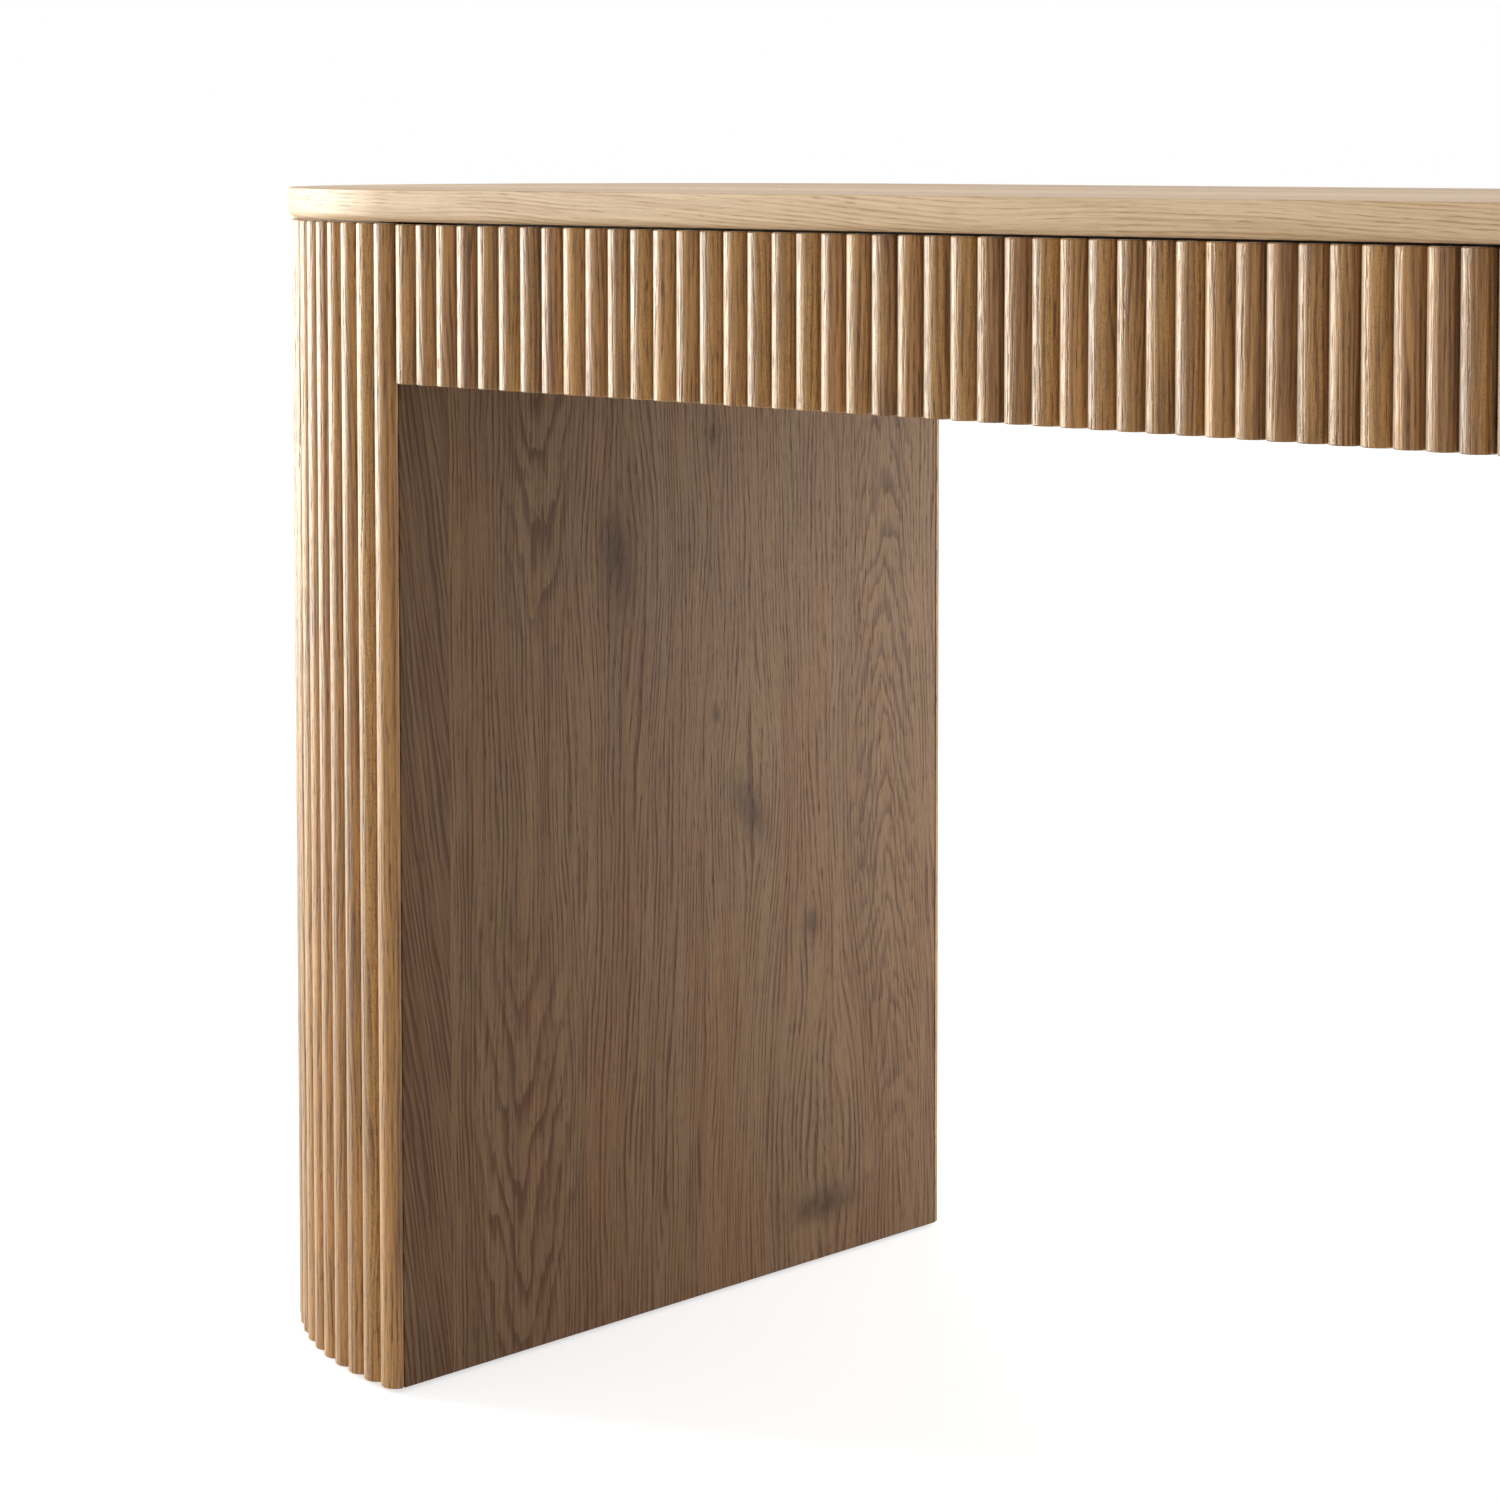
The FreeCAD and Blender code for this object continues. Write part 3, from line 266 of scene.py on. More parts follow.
def piece(name, rings, places, materials, seed=0, spread=(0.0, 1.0)):
    """One object with a copy of a ringed prism at each place: point = origin + x across + y out + z along.
    The UV map holds metres along the outline and along the piece, the attributes tint and blush one number
    for each copy, the tint inside the spread. The first material goes on the sides, the last on the two
    ends."""
    copies, (rows, columns, _) = len(places), rings.shape
    places = np.asarray(places, float)
    points = places[:, None, None, 0] + np.einsum("smk,nkd->nsmd", rings, places[:, 1:])
    ring = np.arange(rows * columns).reshape(rows, columns)
    after = np.roll(ring, -1, axis=1)
    quads = np.stack([ring[:-1], after[:-1], after[1:], ring[1:]], axis=-1).reshape(-1, 4)
    ends = np.stack([ring[0][::-1], ring[-1]])
    step = (np.arange(copies) * rows * columns)[:, None, None]
    sides, caps = (quads + step).reshape(-1, 4), (ends + step).reshape(-1, columns)
    mesh = bpy.data.meshes.new(name)
    mesh.from_pydata(points.reshape(-1, 3), [], sides.tolist() + caps.tolist())

    widest = rings[rows // 2]
    closed = np.concatenate([widest, widest[:1]])
    across = np.concatenate([[0], np.cumsum(np.linalg.norm(np.diff(closed, axis=0), axis=1))])
    edge = rings[:, 0]
    along = np.concatenate([[0], np.cumsum(np.linalg.norm(np.diff(edge, axis=0), axis=1))])
    u0, v0 = np.meshgrid(across[:-1], along[:-1])
    u1, v1 = np.meshgrid(across[1:], along[1:])
    side_uv = np.stack([np.stack([u0, v0], -1), np.stack([u1, v0], -1),
                        np.stack([u1, v1], -1), np.stack([u0, v1], -1)], axis=2).reshape(-1, 2)
    cap_uv = np.concatenate([rings[0][::-1, :2], rings[-1][:, :2]])
    layer = mesh.uv_layers.new(name="run")
    layer.data.foreach_set("uv", np.concatenate(
        [np.tile(side_uv, (copies, 1)), np.tile(cap_uv, (copies, 1))]).astype(np.float32).ravel())
    chance = np.random.default_rng(seed).random((2, copies))
    chance[0] = spread[0] + (spread[1] - spread[0]) * chance[0]
    for label, values in zip(("tint", "blush"), chance):
        attribute = mesh.attributes.new(label, "FLOAT", "POINT")
        attribute.data.foreach_set("value", np.repeat(values, rows * columns).astype(np.float32))
    for finish in materials:
        mesh.materials.append(finish)
    kind = np.zeros(len(sides) + len(caps), np.int32)
    kind[len(sides):] = len(materials) - 1
    mesh.polygons.foreach_set("material_index", kind)
    mesh.shade_smooth()
    mesh.set_sharp_from_angle(angle=SHARP_ANGLE)
    mesh.update()
    made = bpy.data.objects.new(name, mesh)
    bpy.context.scene.collection.objects.link(made)
    return made


def stand(made, body, slot, *nodes):
    """Puts a piece on its body in place of CAD nodes."""
    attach(made, body)
    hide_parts(*nodes)


def upright(origin, out):
    """The place of a piece that stands along Z and looks out along a level direction."""
    out = np.asarray(out, float)
    return np.array([origin, np.cross(out, [0, 0, 1]), out, [0, 0, 1]])


# Node trees

class Nodes:
    """Short calls that add and join the nodes of one tree."""

    def __init__(self, tree):
        self.tree = tree

    def put(self, socket, value):
        """Joins a socket to another or gives it a plain value."""
        if isinstance(value, bpy.types.NodeSocket):
            self.tree.links.new(value, socket)
        else:
            socket.default_value = value

    def add(self, kind, inputs=(), **settings):
        """A node with its settings, and its inputs by name or by number."""
        made = self.tree.nodes.new(kind)
        for name, value in settings.items():
            setattr(made, name, value)
        for key, value in dict(inputs).items():
            self.put(made.inputs[key], value)
        return made

    def math(self, operation, *values):
        """The result of a Math node."""
        return self.add("ShaderNodeMath", enumerate(values), operation=operation).outputs[0]

    def plus(self, first, second):
        """Two values added."""
        return self.math("ADD", first, second)

    def less(self, first, second):
        """The first value less the second."""
        return self.math("SUBTRACT", first, second)

    def times(self, first, second):
        """Two values multiplied."""
        return self.math("MULTIPLY", first, second)

    def over(self, first, second):
        """The first value divided by the second."""
        return self.math("DIVIDE", first, second)

    def vector_math(self, operation, *values):
        """The result of a Vector Math node."""
        return self.add("ShaderNodeVectorMath", enumerate(values), operation=operation).outputs[0]

    def mix(self, factor, first, second, blend="MIX"):
        """Two colours mixed."""
        made = self.add("ShaderNodeMix", {0: factor, 6: first, 7: second}, data_type="RGBA", blend_type=blend)
        return made.outputs[2]

    def span(self, value, low, high, to_low=0.0, to_high=1.0):
        """A value carried smoothly from one range to another and held inside it."""
        made = self.add("ShaderNodeMapRange", {0: value, 1: low, 2: high, 3: to_low, 4: to_high},
                        interpolation_type="SMOOTHSTEP")
        return made.outputs[0]

    def noise(self, vector, stretch, detail=2.0, rough=0.5):
        """Noise on a stretched vector."""
        place = self.vector_math("MULTIPLY", vector, stretch)
        made = self.add("ShaderNodeTexNoise", {"Vector": place, "Scale": 1.0, "Detail": detail,
                                               "Roughness": rough})
        return made.outputs[0]

    def split(self, vector):
        """The three parts of a vector."""
        return self.add("ShaderNodeSeparateXYZ", {0: vector}).outputs

    def join(self, x, y, z):
        """A vector from three parts."""
        return self.add("ShaderNodeCombineXYZ", {0: x, 1: y, 2: z}).outputs[0]


def group(name, inputs, outputs):
    """An empty shader group with its named sockets: its call helper, its input and its output node."""
    tree = bpy.data.node_groups.new(name, "ShaderNodeTree")
    for label, kind, value in inputs:
        socket = tree.interface.new_socket(label, in_out="INPUT", socket_type=kind)
        if value is not None:
            socket.default_value = value
    for label, kind in outputs:
        tree.interface.new_socket(label, in_out="OUTPUT", socket_type=kind)
    nodes = Nodes(tree)
    return nodes, nodes.add("NodeGroupInput").outputs, nodes.add("NodeGroupOutput").inputs


def use(nodes, name, **inputs):
    """A group placed in a tree, with its sockets by name."""
    made = nodes.add("ShaderNodeGroup", node_tree=bpy.data.node_groups[name])
    for key, value in inputs.items():
        nodes.put(made.inputs[key.replace("_", " ")], value)
    return made.outputs


def fibre_group():
    """Oak fibre: slow streaks and fibres as noise drawn out along the vector's Z, growth lines at an even
    spacing across X that noise bends and fades, short pores along those lines, and round specks."""
    nodes, given, out = group(
        "oak fibre",
        [("Vector", "NodeSocketVector", None), ("Streak", "NodeSocketFloat", 1.0),
         ("Fibre", "NodeSocketFloat", 1.0), ("Spacing", "NodeSocketFloat", 0.004)],
        [("Tone", "NodeSocketFloat"), ("Line", "NodeSocketFloat"), ("Pore", "NodeSocketFloat"),
         ("Speck", "NodeSocketFloat"), ("Height", "NodeSocketFloat")],
    )
    vector = given["Vector"]
    streak = nodes.noise(vector, (60, 60, 1.6), 2.0)
    fibre = nodes.noise(vector, (520, 520, 12), 2.0, 0.55)
    dash = nodes.noise(vector, (1250, 1250, 85), 1.0)
    grit = nodes.noise(vector, (1100, 1100, 620), 1.0)
    bend = nodes.noise(vector, (34, 34, 5), 2.0)
    fade = nodes.span(nodes.noise(vector, (140, 140, 13), 2.0), 0.34, 0.62, 0.1, 1.0)
    phase = nodes.over(nodes.split(vector)[0], given["Spacing"])
    ring = nodes.math("FRACT", nodes.plus(phase, nodes.times(bend, 6.0)))
    line = nodes.times(nodes.span(ring, 0.30, 0.85), nodes.span(ring, 1.0, 0.90))
    line = nodes.times(line, fade)
    pore = nodes.times(nodes.span(dash, 0.53, 0.64), nodes.span(line, 0.0, 0.7, 0.4, 1.0))
    broad = nodes.times(nodes.less(streak, 0.5), given["Streak"])
    narrow = nodes.times(nodes.less(fibre, 0.5), given["Fibre"])
    rise = nodes.plus(fibre, nodes.times(grit, 0.35))
    rise = nodes.less(rise, nodes.times(line, 0.5))
    nodes.put(out["Tone"], nodes.plus(nodes.plus(broad, narrow), 0.5))
    nodes.put(out["Line"], line)
    nodes.put(out["Pore"], pore)
    nodes.put(out["Speck"], nodes.span(grit, 0.52, 0.68))
    nodes.put(out["Height"], nodes.less(rise, pore))


def leaf_group():
    """Veneer leaves side by side along the vector's X: the grain of each leaf leans and wanders in its own
    way, by a slope along Z and by slow noise, and each has its own shade."""
    nodes, given, out = group(
        "veneer leaf",
        [("Vector", "NodeSocketVector", None), ("Leaf", "NodeSocketFloat", 0.118),
         ("Start", "NodeSocketFloat", -0.214), ("Lean", "NodeSocketFloat", 0.0)],
        [("Vector", "NodeSocketVector"), ("Shade", "NodeSocketFloat"), ("Joint", "NodeSocketFloat"),
         ("First", "NodeSocketFloat")],
    )
    x, _, z = nodes.split(given["Vector"])
    place = nodes.over(nodes.less(x, given["Start"]), given["Leaf"])
    number = nodes.math("FLOOR", place)
    chance = nodes.add("ShaderNodeTexWhiteNoise", {"W": number}, noise_dimensions="1D")
    lean, shift, shade = nodes.add("ShaderNodeSeparateColor", {0: chance.outputs["Color"]}).outputs
    slow = nodes.noise(nodes.join(x, number, z), (7, 7.3, 2.2), 2.0, 0.55)
    bend = nodes.times(nodes.less(slow, 0.5), 0.02)
    first = nodes.math("LESS_THAN", number, 0.0)
    slope = nodes.plus(nodes.times(nodes.less(lean, 0.5), 0.05), nodes.times(first, given["Lean"]))
    moved = nodes.plus(x, nodes.plus(bend, nodes.times(slope, z)))
    later = nodes.plus(z, nodes.times(shift, 9.0))
    nodes.put(out["Vector"], nodes.join(moved, nodes.times(number, 1.7), later))
    nodes.put(out["Shade"], shade)
    side = nodes.math("ABSOLUTE", nodes.less(nodes.math("FRACT", place), 0.5))
    gap = nodes.times(nodes.less(0.5, side), given["Leaf"])
    nodes.put(out["Joint"], nodes.span(gap, 0.0008, 0.0))
    nodes.put(out["First"], first)


def flame_group():
    """A flame in flat-cut oak: nested arches of equal z * turn - steep * sqrt(x^2 + nose^2), jagged by noise,
    that fade out by exp(-x^4 - z^4)."""
    nodes, given, out = group(
        "flame",
        [("Vector", "NodeSocketVector", None), ("Across", "NodeSocketFloat", 0.0),
         ("Along", "NodeSocketFloat", 0.0), ("Wide", "NodeSocketFloat", 0.03),
         ("Tall", "NodeSocketFloat", 0.12), ("Turn", "NodeSocketFloat", 1.0),
         ("Spacing", "NodeSocketFloat", 0.022)],
        [("Arch", "NodeSocketFloat"), ("Share", "NodeSocketFloat")],
    )
    x, _, z = nodes.split(given["Vector"])
    dx = nodes.less(x, given["Across"])
    dz = nodes.less(z, given["Along"])
    wander = nodes.noise(given["Vector"], (48, 40, 11), 2.0)
    jag = nodes.noise(given["Vector"], (260, 40, 22), 2.0, 0.6)
    nose = nodes.math("SQRT", nodes.plus(nodes.times(dx, dx), 0.00008))
    run = nodes.less(nodes.times(dz, given["Turn"]), nodes.times(nose, 4.0))
    run = nodes.plus(run, nodes.times(wander, 0.12))
    run = nodes.plus(run, nodes.times(jag, 0.022))
    saw = nodes.math("FRACT", nodes.over(run, given["Spacing"]))
    late = nodes.times(nodes.span(saw, 0.40, 0.86), nodes.span(saw, 1.0, 0.90))
    wide = nodes.math("POWER", nodes.math("ABSOLUTE", nodes.over(dx, given["Wide"])), 4.0)
    tall = nodes.math("POWER", nodes.math("ABSOLUTE", nodes.over(dz, given["Tall"])), 4.0)
    part = nodes.math("EXPONENT", nodes.times(nodes.plus(wide, tall), -1.0))
    broken = nodes.span(jag, 0.30, 0.50, 0.35, 1.0)
    nodes.put(out["Arch"], nodes.times(nodes.times(late, part), broken))
    nodes.put(out["Share"], part)


def knot_group():
    """A knot: the vector's X is drawn towards the knot by exp(-r^2), so straight grain flows round it, with
    a wide faint halo and, in its middle, a soft dark eye that noise ruffles."""
    nodes, given, out = group(
        "knot",
        [("Vector", "NodeSocketVector", None), ("Across", "NodeSocketFloat", 0.0),
         ("Along", "NodeSocketFloat", 0.0), ("Wide", "NodeSocketFloat", 0.01),
         ("Tall", "NodeSocketFloat", 0.02), ("Lean", "NodeSocketFloat", 0.0),
         ("Flow", "NodeSocketFloat", 0.02)],
        [("Vector", "NodeSocketVector"), ("Eye", "NodeSocketFloat"), ("Halo", "NodeSocketFloat")],
    )
    x, y, z = nodes.split(given["Vector"])
    dz = nodes.less(z, given["Along"])
    dx = nodes.less(x, given["Across"])
    tilted = nodes.less(dx, nodes.times(dz, given["Lean"]))

    def bell(side, wide, tall):
        """exp(-(side / wide)^2 - (dz / tall)^2)."""
        first = nodes.math("POWER", nodes.math("ABSOLUTE", nodes.over(side, wide)), 2.0)
        second = nodes.math("POWER", nodes.math("ABSOLUTE", nodes.over(dz, tall)), 2.0)
        return nodes.math("EXPONENT", nodes.times(nodes.plus(first, second), -1.0))

    pull = nodes.times(dx, bell(dx, given["Flow"], nodes.times(given["Flow"], 2.4)))
    ruffle = nodes.span(nodes.noise(given["Vector"], (130, 60, 60), 3.0, 0.6), 0.34, 0.62)
    soft = bell(tilted, given["Wide"], given["Tall"])
    nodes.put(out["Vector"], nodes.join(nodes.less(x, nodes.times(pull, 0.6)), y, z))
    nodes.put(out["Eye"], nodes.times(soft, nodes.plus(nodes.times(ruffle, 0.4), 0.6)))
    nodes.put(out["Halo"], bell(dx, nodes.times(given["Flow"], 0.8), given["Flow"]))


def material(name):
    """A fresh material: its call helper and its Principled BSDF node."""
    made = bpy.data.materials.new(name)
    made.use_nodes = True
    made.node_tree.nodes.clear()
    nodes = Nodes(made.node_tree)
    shader = nodes.add("ShaderNodeBsdfPrincipled")
    nodes.add("ShaderNodeOutputMaterial", {0: shader.outputs[0]})
    return made, nodes, shader


def solid(colour_value, scale=1.0):
    """A colour property as four numbers, made lighter or darker."""
    return (*[min(1.0, part * scale) for part in colour_value], 1.0)


def lay(nodes, shader, base, rough, height, distance, index=PLAIN_INDEX):
    """Joins colour, roughness and bump to the shader and sets its index of refraction."""
    nodes.put(shader.inputs["Base Color"], base)
    nodes.put(shader.inputs["Roughness"], rough)
    bump = nodes.add("ShaderNodeBump", {"Strength": BUMP_STRENGTH, "Distance": distance, "Height": height})
    nodes.put(shader.inputs["Normal"], bump.outputs[0])
    shader.inputs["IOR"].default_value = index


def object_vector(nodes, along):
    """Object coordinates with the grain's axis put last."""
    x, y, z = nodes.split(nodes.add("ShaderNodeTexCoord").outputs["Object"])
    order = {"X": (y, z, x), "Y": (x, z, y), "Z": (y, x, z)}[along]
    return nodes.join(*order)


def reed_oak(finish):
    """Oak of the reeds: fibre along each reed, its own tint from golden to pinkish, fine dark pores and, on
    the golden ones, specks."""
    made, nodes, shader = material("reed oak")
    u, v, _ = nodes.split(nodes.add("ShaderNodeTexCoord").outputs["UV"])
    tint = nodes.add("ShaderNodeAttribute", attribute_name="tint").outputs["Fac"]
    along = nodes.plus(v, nodes.times(tint, 11.0))
    grain = use(nodes, "oak fibre", Vector=nodes.join(u, nodes.times(tint, 37.0), along),
                Streak=0.9, Fibre=1.1, Spacing=0.0034)
    blush = nodes.add("ShaderNodeAttribute", attribute_name="blush").outputs["Fac"]
    pale = nodes.mix(blush, solid(finish.reed_gold), solid(finish.reed_blush))
    # A reed's tint shifts its tone at random; the legs' higher tints make their reeds lighter as painted
    # light
    tone = nodes.plus(grain["Tone"], nodes.times(nodes.less(tint, 0.5), 0.20))
    tone = nodes.less(tone, nodes.times(grain["Line"], 0.30))
    base = nodes.mix(nodes.span(tone, 0.80, 0.0), pale, solid(finish.reed_dark))
    base = nodes.mix(nodes.times(grain["Pore"], 0.70), base, solid(finish.reed_dark, 0.7))
    sand = nodes.times(grain["Speck"], nodes.span(blush, 0.8, 0.1, 0.08, 0.40))
    base = nodes.mix(sand, base, solid(finish.reed_dark))
    rough = nodes.plus(finish.satin + MATT["reeds"], nodes.times(grain["Pore"], 0.25))
    lay(nodes, shader, base, rough, grain["Height"], REED_BUMP, REED_INDEX)
    shader.inputs["Sheen Weight"].default_value = SHEEN_WEIGHT
    shader.inputs["Sheen Roughness"].default_value = SHEEN_ROUGHNESS
    shader.inputs["Sheen Tint"].default_value = SHEEN_TINT
    return made


def leaf_oak(name, along, light, dark, satin, index, leaves, shades, flames=(), knots=(), first=0.0,
             lean=0.0):
    """Oak veneer in leaves: growth lines, fibre and pores, a shade for each leaf, a fine joint between
    leaves, and the flames and knots that are given. The narrow leaf before the first joint may be darker
    and lean."""
    made, nodes, shader = material(name)
    vector = object_vector(nodes, along)
    eyes, halos, arches, calm = 0.0, 0.0, 0.0, 0.0
    for across, up, wide, tall, tilt, flow in knots:
        knot = use(nodes, "knot", Vector=vector, Across=across, Along=up, Wide=wide, Tall=tall, Lean=tilt,
                   Flow=flow)
        vector = knot["Vector"]
        eyes = nodes.math("MAXIMUM", eyes, knot["Eye"])
        halos = nodes.math("MAXIMUM", halos, knot["Halo"])
    for across, up, wide, tall, turn, spacing in flames:
        flame = use(nodes, "flame", Vector=vector, Across=across, Along=up, Wide=wide, Tall=tall, Turn=turn,
                    Spacing=spacing)
        arches = nodes.math("MAXIMUM", arches, flame["Arch"])
        calm = nodes.math("MAXIMUM", calm, flame["Share"])
    start, width = leaves
    leaf = use(nodes, "veneer leaf", Vector=vector, Leaf=width, Start=start, Lean=lean)
    grain = use(nodes, "oak fibre", Vector=leaf["Vector"], Streak=0.55, Fibre=0.80)
    line = nodes.times(grain["Line"], nodes.less(0.50, nodes.times(calm, 0.34)))
    tone = nodes.less(grain["Tone"], line)
    tone = nodes.less(tone, nodes.times(arches, 0.44))
    tone = nodes.less(tone, nodes.times(halos, 0.08))
    tone = nodes.plus(tone, nodes.times(nodes.less(leaf["Shade"], 0.5), shades))
    tone = nodes.less(tone, nodes.times(leaf["First"], first))
    base = nodes.mix(nodes.span(tone, 0.74, -0.05), solid(light), solid(dark))
    warm = nodes.span(nodes.noise(leaf["Vector"], (26, 26, 4), 2.0), 0.38, 0.62)
    base = nodes.mix(warm, base, WARM_STREAK, "MULTIPLY")
    base = nodes.mix(nodes.times(grain["Pore"], 0.72), base, solid(dark, 0.75))
    base = nodes.mix(nodes.times(leaf["Joint"], 0.25), base, solid(dark, 0.6))
    base = nodes.mix(eyes, base, solid(dark, 0.60))
    rough = nodes.plus(satin, nodes.times(grain["Pore"], 0.15))
    lay(nodes, shader, base, rough, grain["Height"], LEAF_BUMP, index)
    return made


def edge_oak(finish):
    """Oak along the edge of the top: growth lines that follow the edge round and drop slowly across it."""
    made, nodes, shader = material("edge oak")
    u, v, _ = nodes.split(nodes.add("ShaderNodeTexCoord").outputs["UV"])
    wave = nodes.noise(nodes.join(u, 0.0, 0.0), (2.3, 1, 1), 2.0)
    across = nodes.plus(v, nodes.times(u, 0.035))
    across = nodes.plus(across, nodes.times(wave, 0.03))
    grain = use(nodes, "oak fibre", Vector=nodes.join(across, 0.3, nodes.times(u, 0.6)), Streak=0.6,
                Fibre=0.9, Spacing=0.0028)
    tone = nodes.less(grain["Tone"], nodes.times(grain["Line"], 0.30))
    base = nodes.mix(nodes.span(tone, 0.80, -0.10), solid(finish.edge_light), solid(finish.top_dark))
    base = nodes.mix(nodes.times(grain["Pore"], 0.60), base, solid(finish.top_dark, 0.75))
    rough = nodes.plus(finish.satin + MATT["edge"], nodes.times(grain["Pore"], 0.1))
    lay(nodes, shader, base, rough, grain["Height"], WOOD_BUMP, EDGE_INDEX)
    return made


def plain_wood(name, along, light, dark, rough_value):
    """Straight-grained board: fibre along one axis."""
    made, nodes, shader = material(name)
    vector = object_vector(nodes, along)
    grain = use(nodes, "oak fibre", Vector=vector, Streak=1.0, Fibre=0.8)
    base = nodes.mix(nodes.span(grain["Tone"], 0.75, 0.1), solid(light), solid(dark))
    base = nodes.mix(nodes.times(grain["Pore"], 0.35), base, solid(dark, 0.75))
    rough = nodes.plus(rough_value, nodes.times(grain["Pore"], 0.2))
    lay(nodes, shader, base, rough, grain["Height"], WOOD_BUMP)
    return made


def plated_steel(name, finish_colour, rough_value):
    """Plated steel: fine drawn lines along Y, a cloudy plating and small specks."""
    made, nodes, shader = material(name)
    place = nodes.add("ShaderNodeTexCoord").outputs["Object"]
    drawn = nodes.noise(place, (900, 14, 900), 2.0)
    cloud = nodes.noise(place, (38, 38, 38), 3.0, 0.6)
    speck = nodes.span(nodes.noise(place, (520, 520, 520), 1.0), 0.66, 0.78)
    mix = nodes.plus(nodes.times(drawn, 0.5), nodes.times(cloud, 0.5))
    base = nodes.mix(nodes.span(mix, 0.3, 0.7), solid(finish_colour, 0.75), solid(finish_colour, 1.15))
    uneven = nodes.plus(nodes.times(cloud, 0.16), nodes.times(speck, 0.2))
    rough = nodes.plus(rough_value, uneven)
    lay(nodes, shader, base, rough, nodes.plus(drawn, speck), STEEL_BUMP)
    shader.inputs["Metallic"].default_value = 1.0
    return made


def wool_felt(finish):
    """Pressed felt: matted fibres in two sizes of noise."""
    made, nodes, shader = material("felt")
    place = nodes.add("ShaderNodeTexCoord").outputs["Object"]
    tuft = nodes.noise(place, (900, 900, 900), 4.0, 0.7)
    patch = nodes.noise(place, (140, 140, 140), 2.0)
    mix = nodes.plus(nodes.times(tuft, 0.7), nodes.times(patch, 0.3))
    base = nodes.mix(nodes.span(mix, 0.3, 0.7), solid(finish.felt, 0.6), solid(finish.felt, 2.2))
    lay(nodes, shader, base, nodes.span(patch, 0.0, 1.0, 0.88, 1.0), tuft, FELT_BUMP)
    return made


def layered_ply(finish):
    """Plywood: fibre up the leg, with darker glue lines between thin layers around the leg's axis."""
    made, nodes, shader = material("plywood")
    x, y, z = nodes.split(nodes.add("ShaderNodeTexCoord").outputs["Object"])
    from_axis = nodes.less(nodes.math("ABSOLUTE", x), LEG_AXIS)
    reach = nodes.math("SQRT", nodes.plus(nodes.times(from_axis, from_axis), nodes.times(y, y)))
    layer = nodes.math("FRACT", nodes.times(reach, LAYERS_PER_METRE))
    grain = use(nodes, "oak fibre", Vector=nodes.join(y, x, z), Streak=0.9, Fibre=0.8)
    base = nodes.mix(nodes.span(grain["Tone"], 0.75, 0.1), solid(finish.box_light), solid(finish.box_dark))
    base = nodes.mix(nodes.times(nodes.span(layer, 0.5, 0.95), 0.5), base, solid(finish.box_dark, 0.7))
    rough = nodes.plus(PLY_ROUGH, nodes.times(grain["Pore"], 0.2))
    lay(nodes, shader, base, rough, grain["Height"], WOOD_BUMP)
    return made


def finish_nodes(made, *names):
    """Gives CAD nodes that stay in sight a finish."""
    for name in names:
        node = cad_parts[name]
        if not node.material_slots:
            node.data.materials.append(made)
        for holder in node.material_slots:
            holder.material = made


# Pieces

class DESK_OT_groups(bpy.types.Operator):
    """Makes the shader groups that the woods share"""
    bl_idname = "desk.groups"
    bl_label = "Shared grain"

    def execute(self, context):
        fibre_group()
        leaf_group()
        flame_group()
        knot_group()
        return {"FINISHED"}


class DESK_OT_top(bpy.types.Operator):
    """Makes the round-ended top with its veneered faces and its edge"""
    bl_idname = "desk.top"
    bl_label = "Top"

    def execute(self, context):
        sizes, finish = context.scene.desk_sizes, context.scene.desk_finish
        low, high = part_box("desktop")
        radius = (high.y - low.y) / 2
        outline, outward = round_ended((high.x - low.x) / 2 - radius, radius, TOP_END_STEPS, TOP_SIDE_STEPS)
        rings = eased(outline, outward, high.z - low.z, sizes.top_lower_round, sizes.top_upper_round,
                      TOP_ROUND_STEPS, sizes.top_hem)
        middle = (low + high) / 2
        place = [[(middle.x, middle.y, low.z), (1, 0, 0), (0, 1, 0), (0, 0, 1)]]
        face = leaf_oak("top oak", "X", finish.top_light, finish.top_dark, finish.satin + MATT["top"],
                        TOP_INDEX, TOP_LEAVES, TOP_SHADES)
        top = piece("top_board", rings, place, [edge_oak(finish), face])
        stand(top, "desk", "oak_top", "desktop")
        return {"FINISHED"}


class DESK_OT_leg_reeds(bpy.types.Operator):
    """Makes the reeds around both half-round legs"""
    bl_idname = "desk.leg_reeds"
    bl_label = "Leg reeds"

    def execute(self, context):
        sizes = context.scene.desk_sizes
        oak = bpy.data.materials.get("reed oak") or reed_oak(context.scene.desk_finish)
        for seed, side in zip(LEG_SEEDS, SIDES):
            low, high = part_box(f"{side}_leg_reeds")
            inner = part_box(f"{side}_leg_panel")
            axis = inner[1].x if side == "left" else inner[0].x
            crest = abs((low.x if side == "left" else high.x) - axis)
            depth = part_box("left_drawer_front")[0].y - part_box("left_drawer_reeds")[0].y
            outline, outward = half_round(sizes.reed_width, depth, sizes.reed_shoulder, REED_STEPS)
            rings = eased(outline, outward, high.z - low.z, sizes.reed_ease, sizes.reed_ease, 1)
            step = np.pi / sizes.leg_reed_count
            start = np.pi / 2 if side == "left" else -np.pi / 2
            angles = start + (np.arange(sizes.leg_reed_count) + 0.5) * step
            outs = np.stack([np.cos(angles), np.sin(angles), np.zeros_like(angles)], axis=1)
            places = [upright((axis, 0, low.z) + (crest - depth) * out, out) for out in outs]
            made = piece(f"{side}_leg_reed_fan", rings, places, [oak], seed, LEG_TINTS_AND_LIGHT)
            stand(made, "desk", "oak_reeds", f"{side}_leg_reeds")
        return {"FINISHED"}


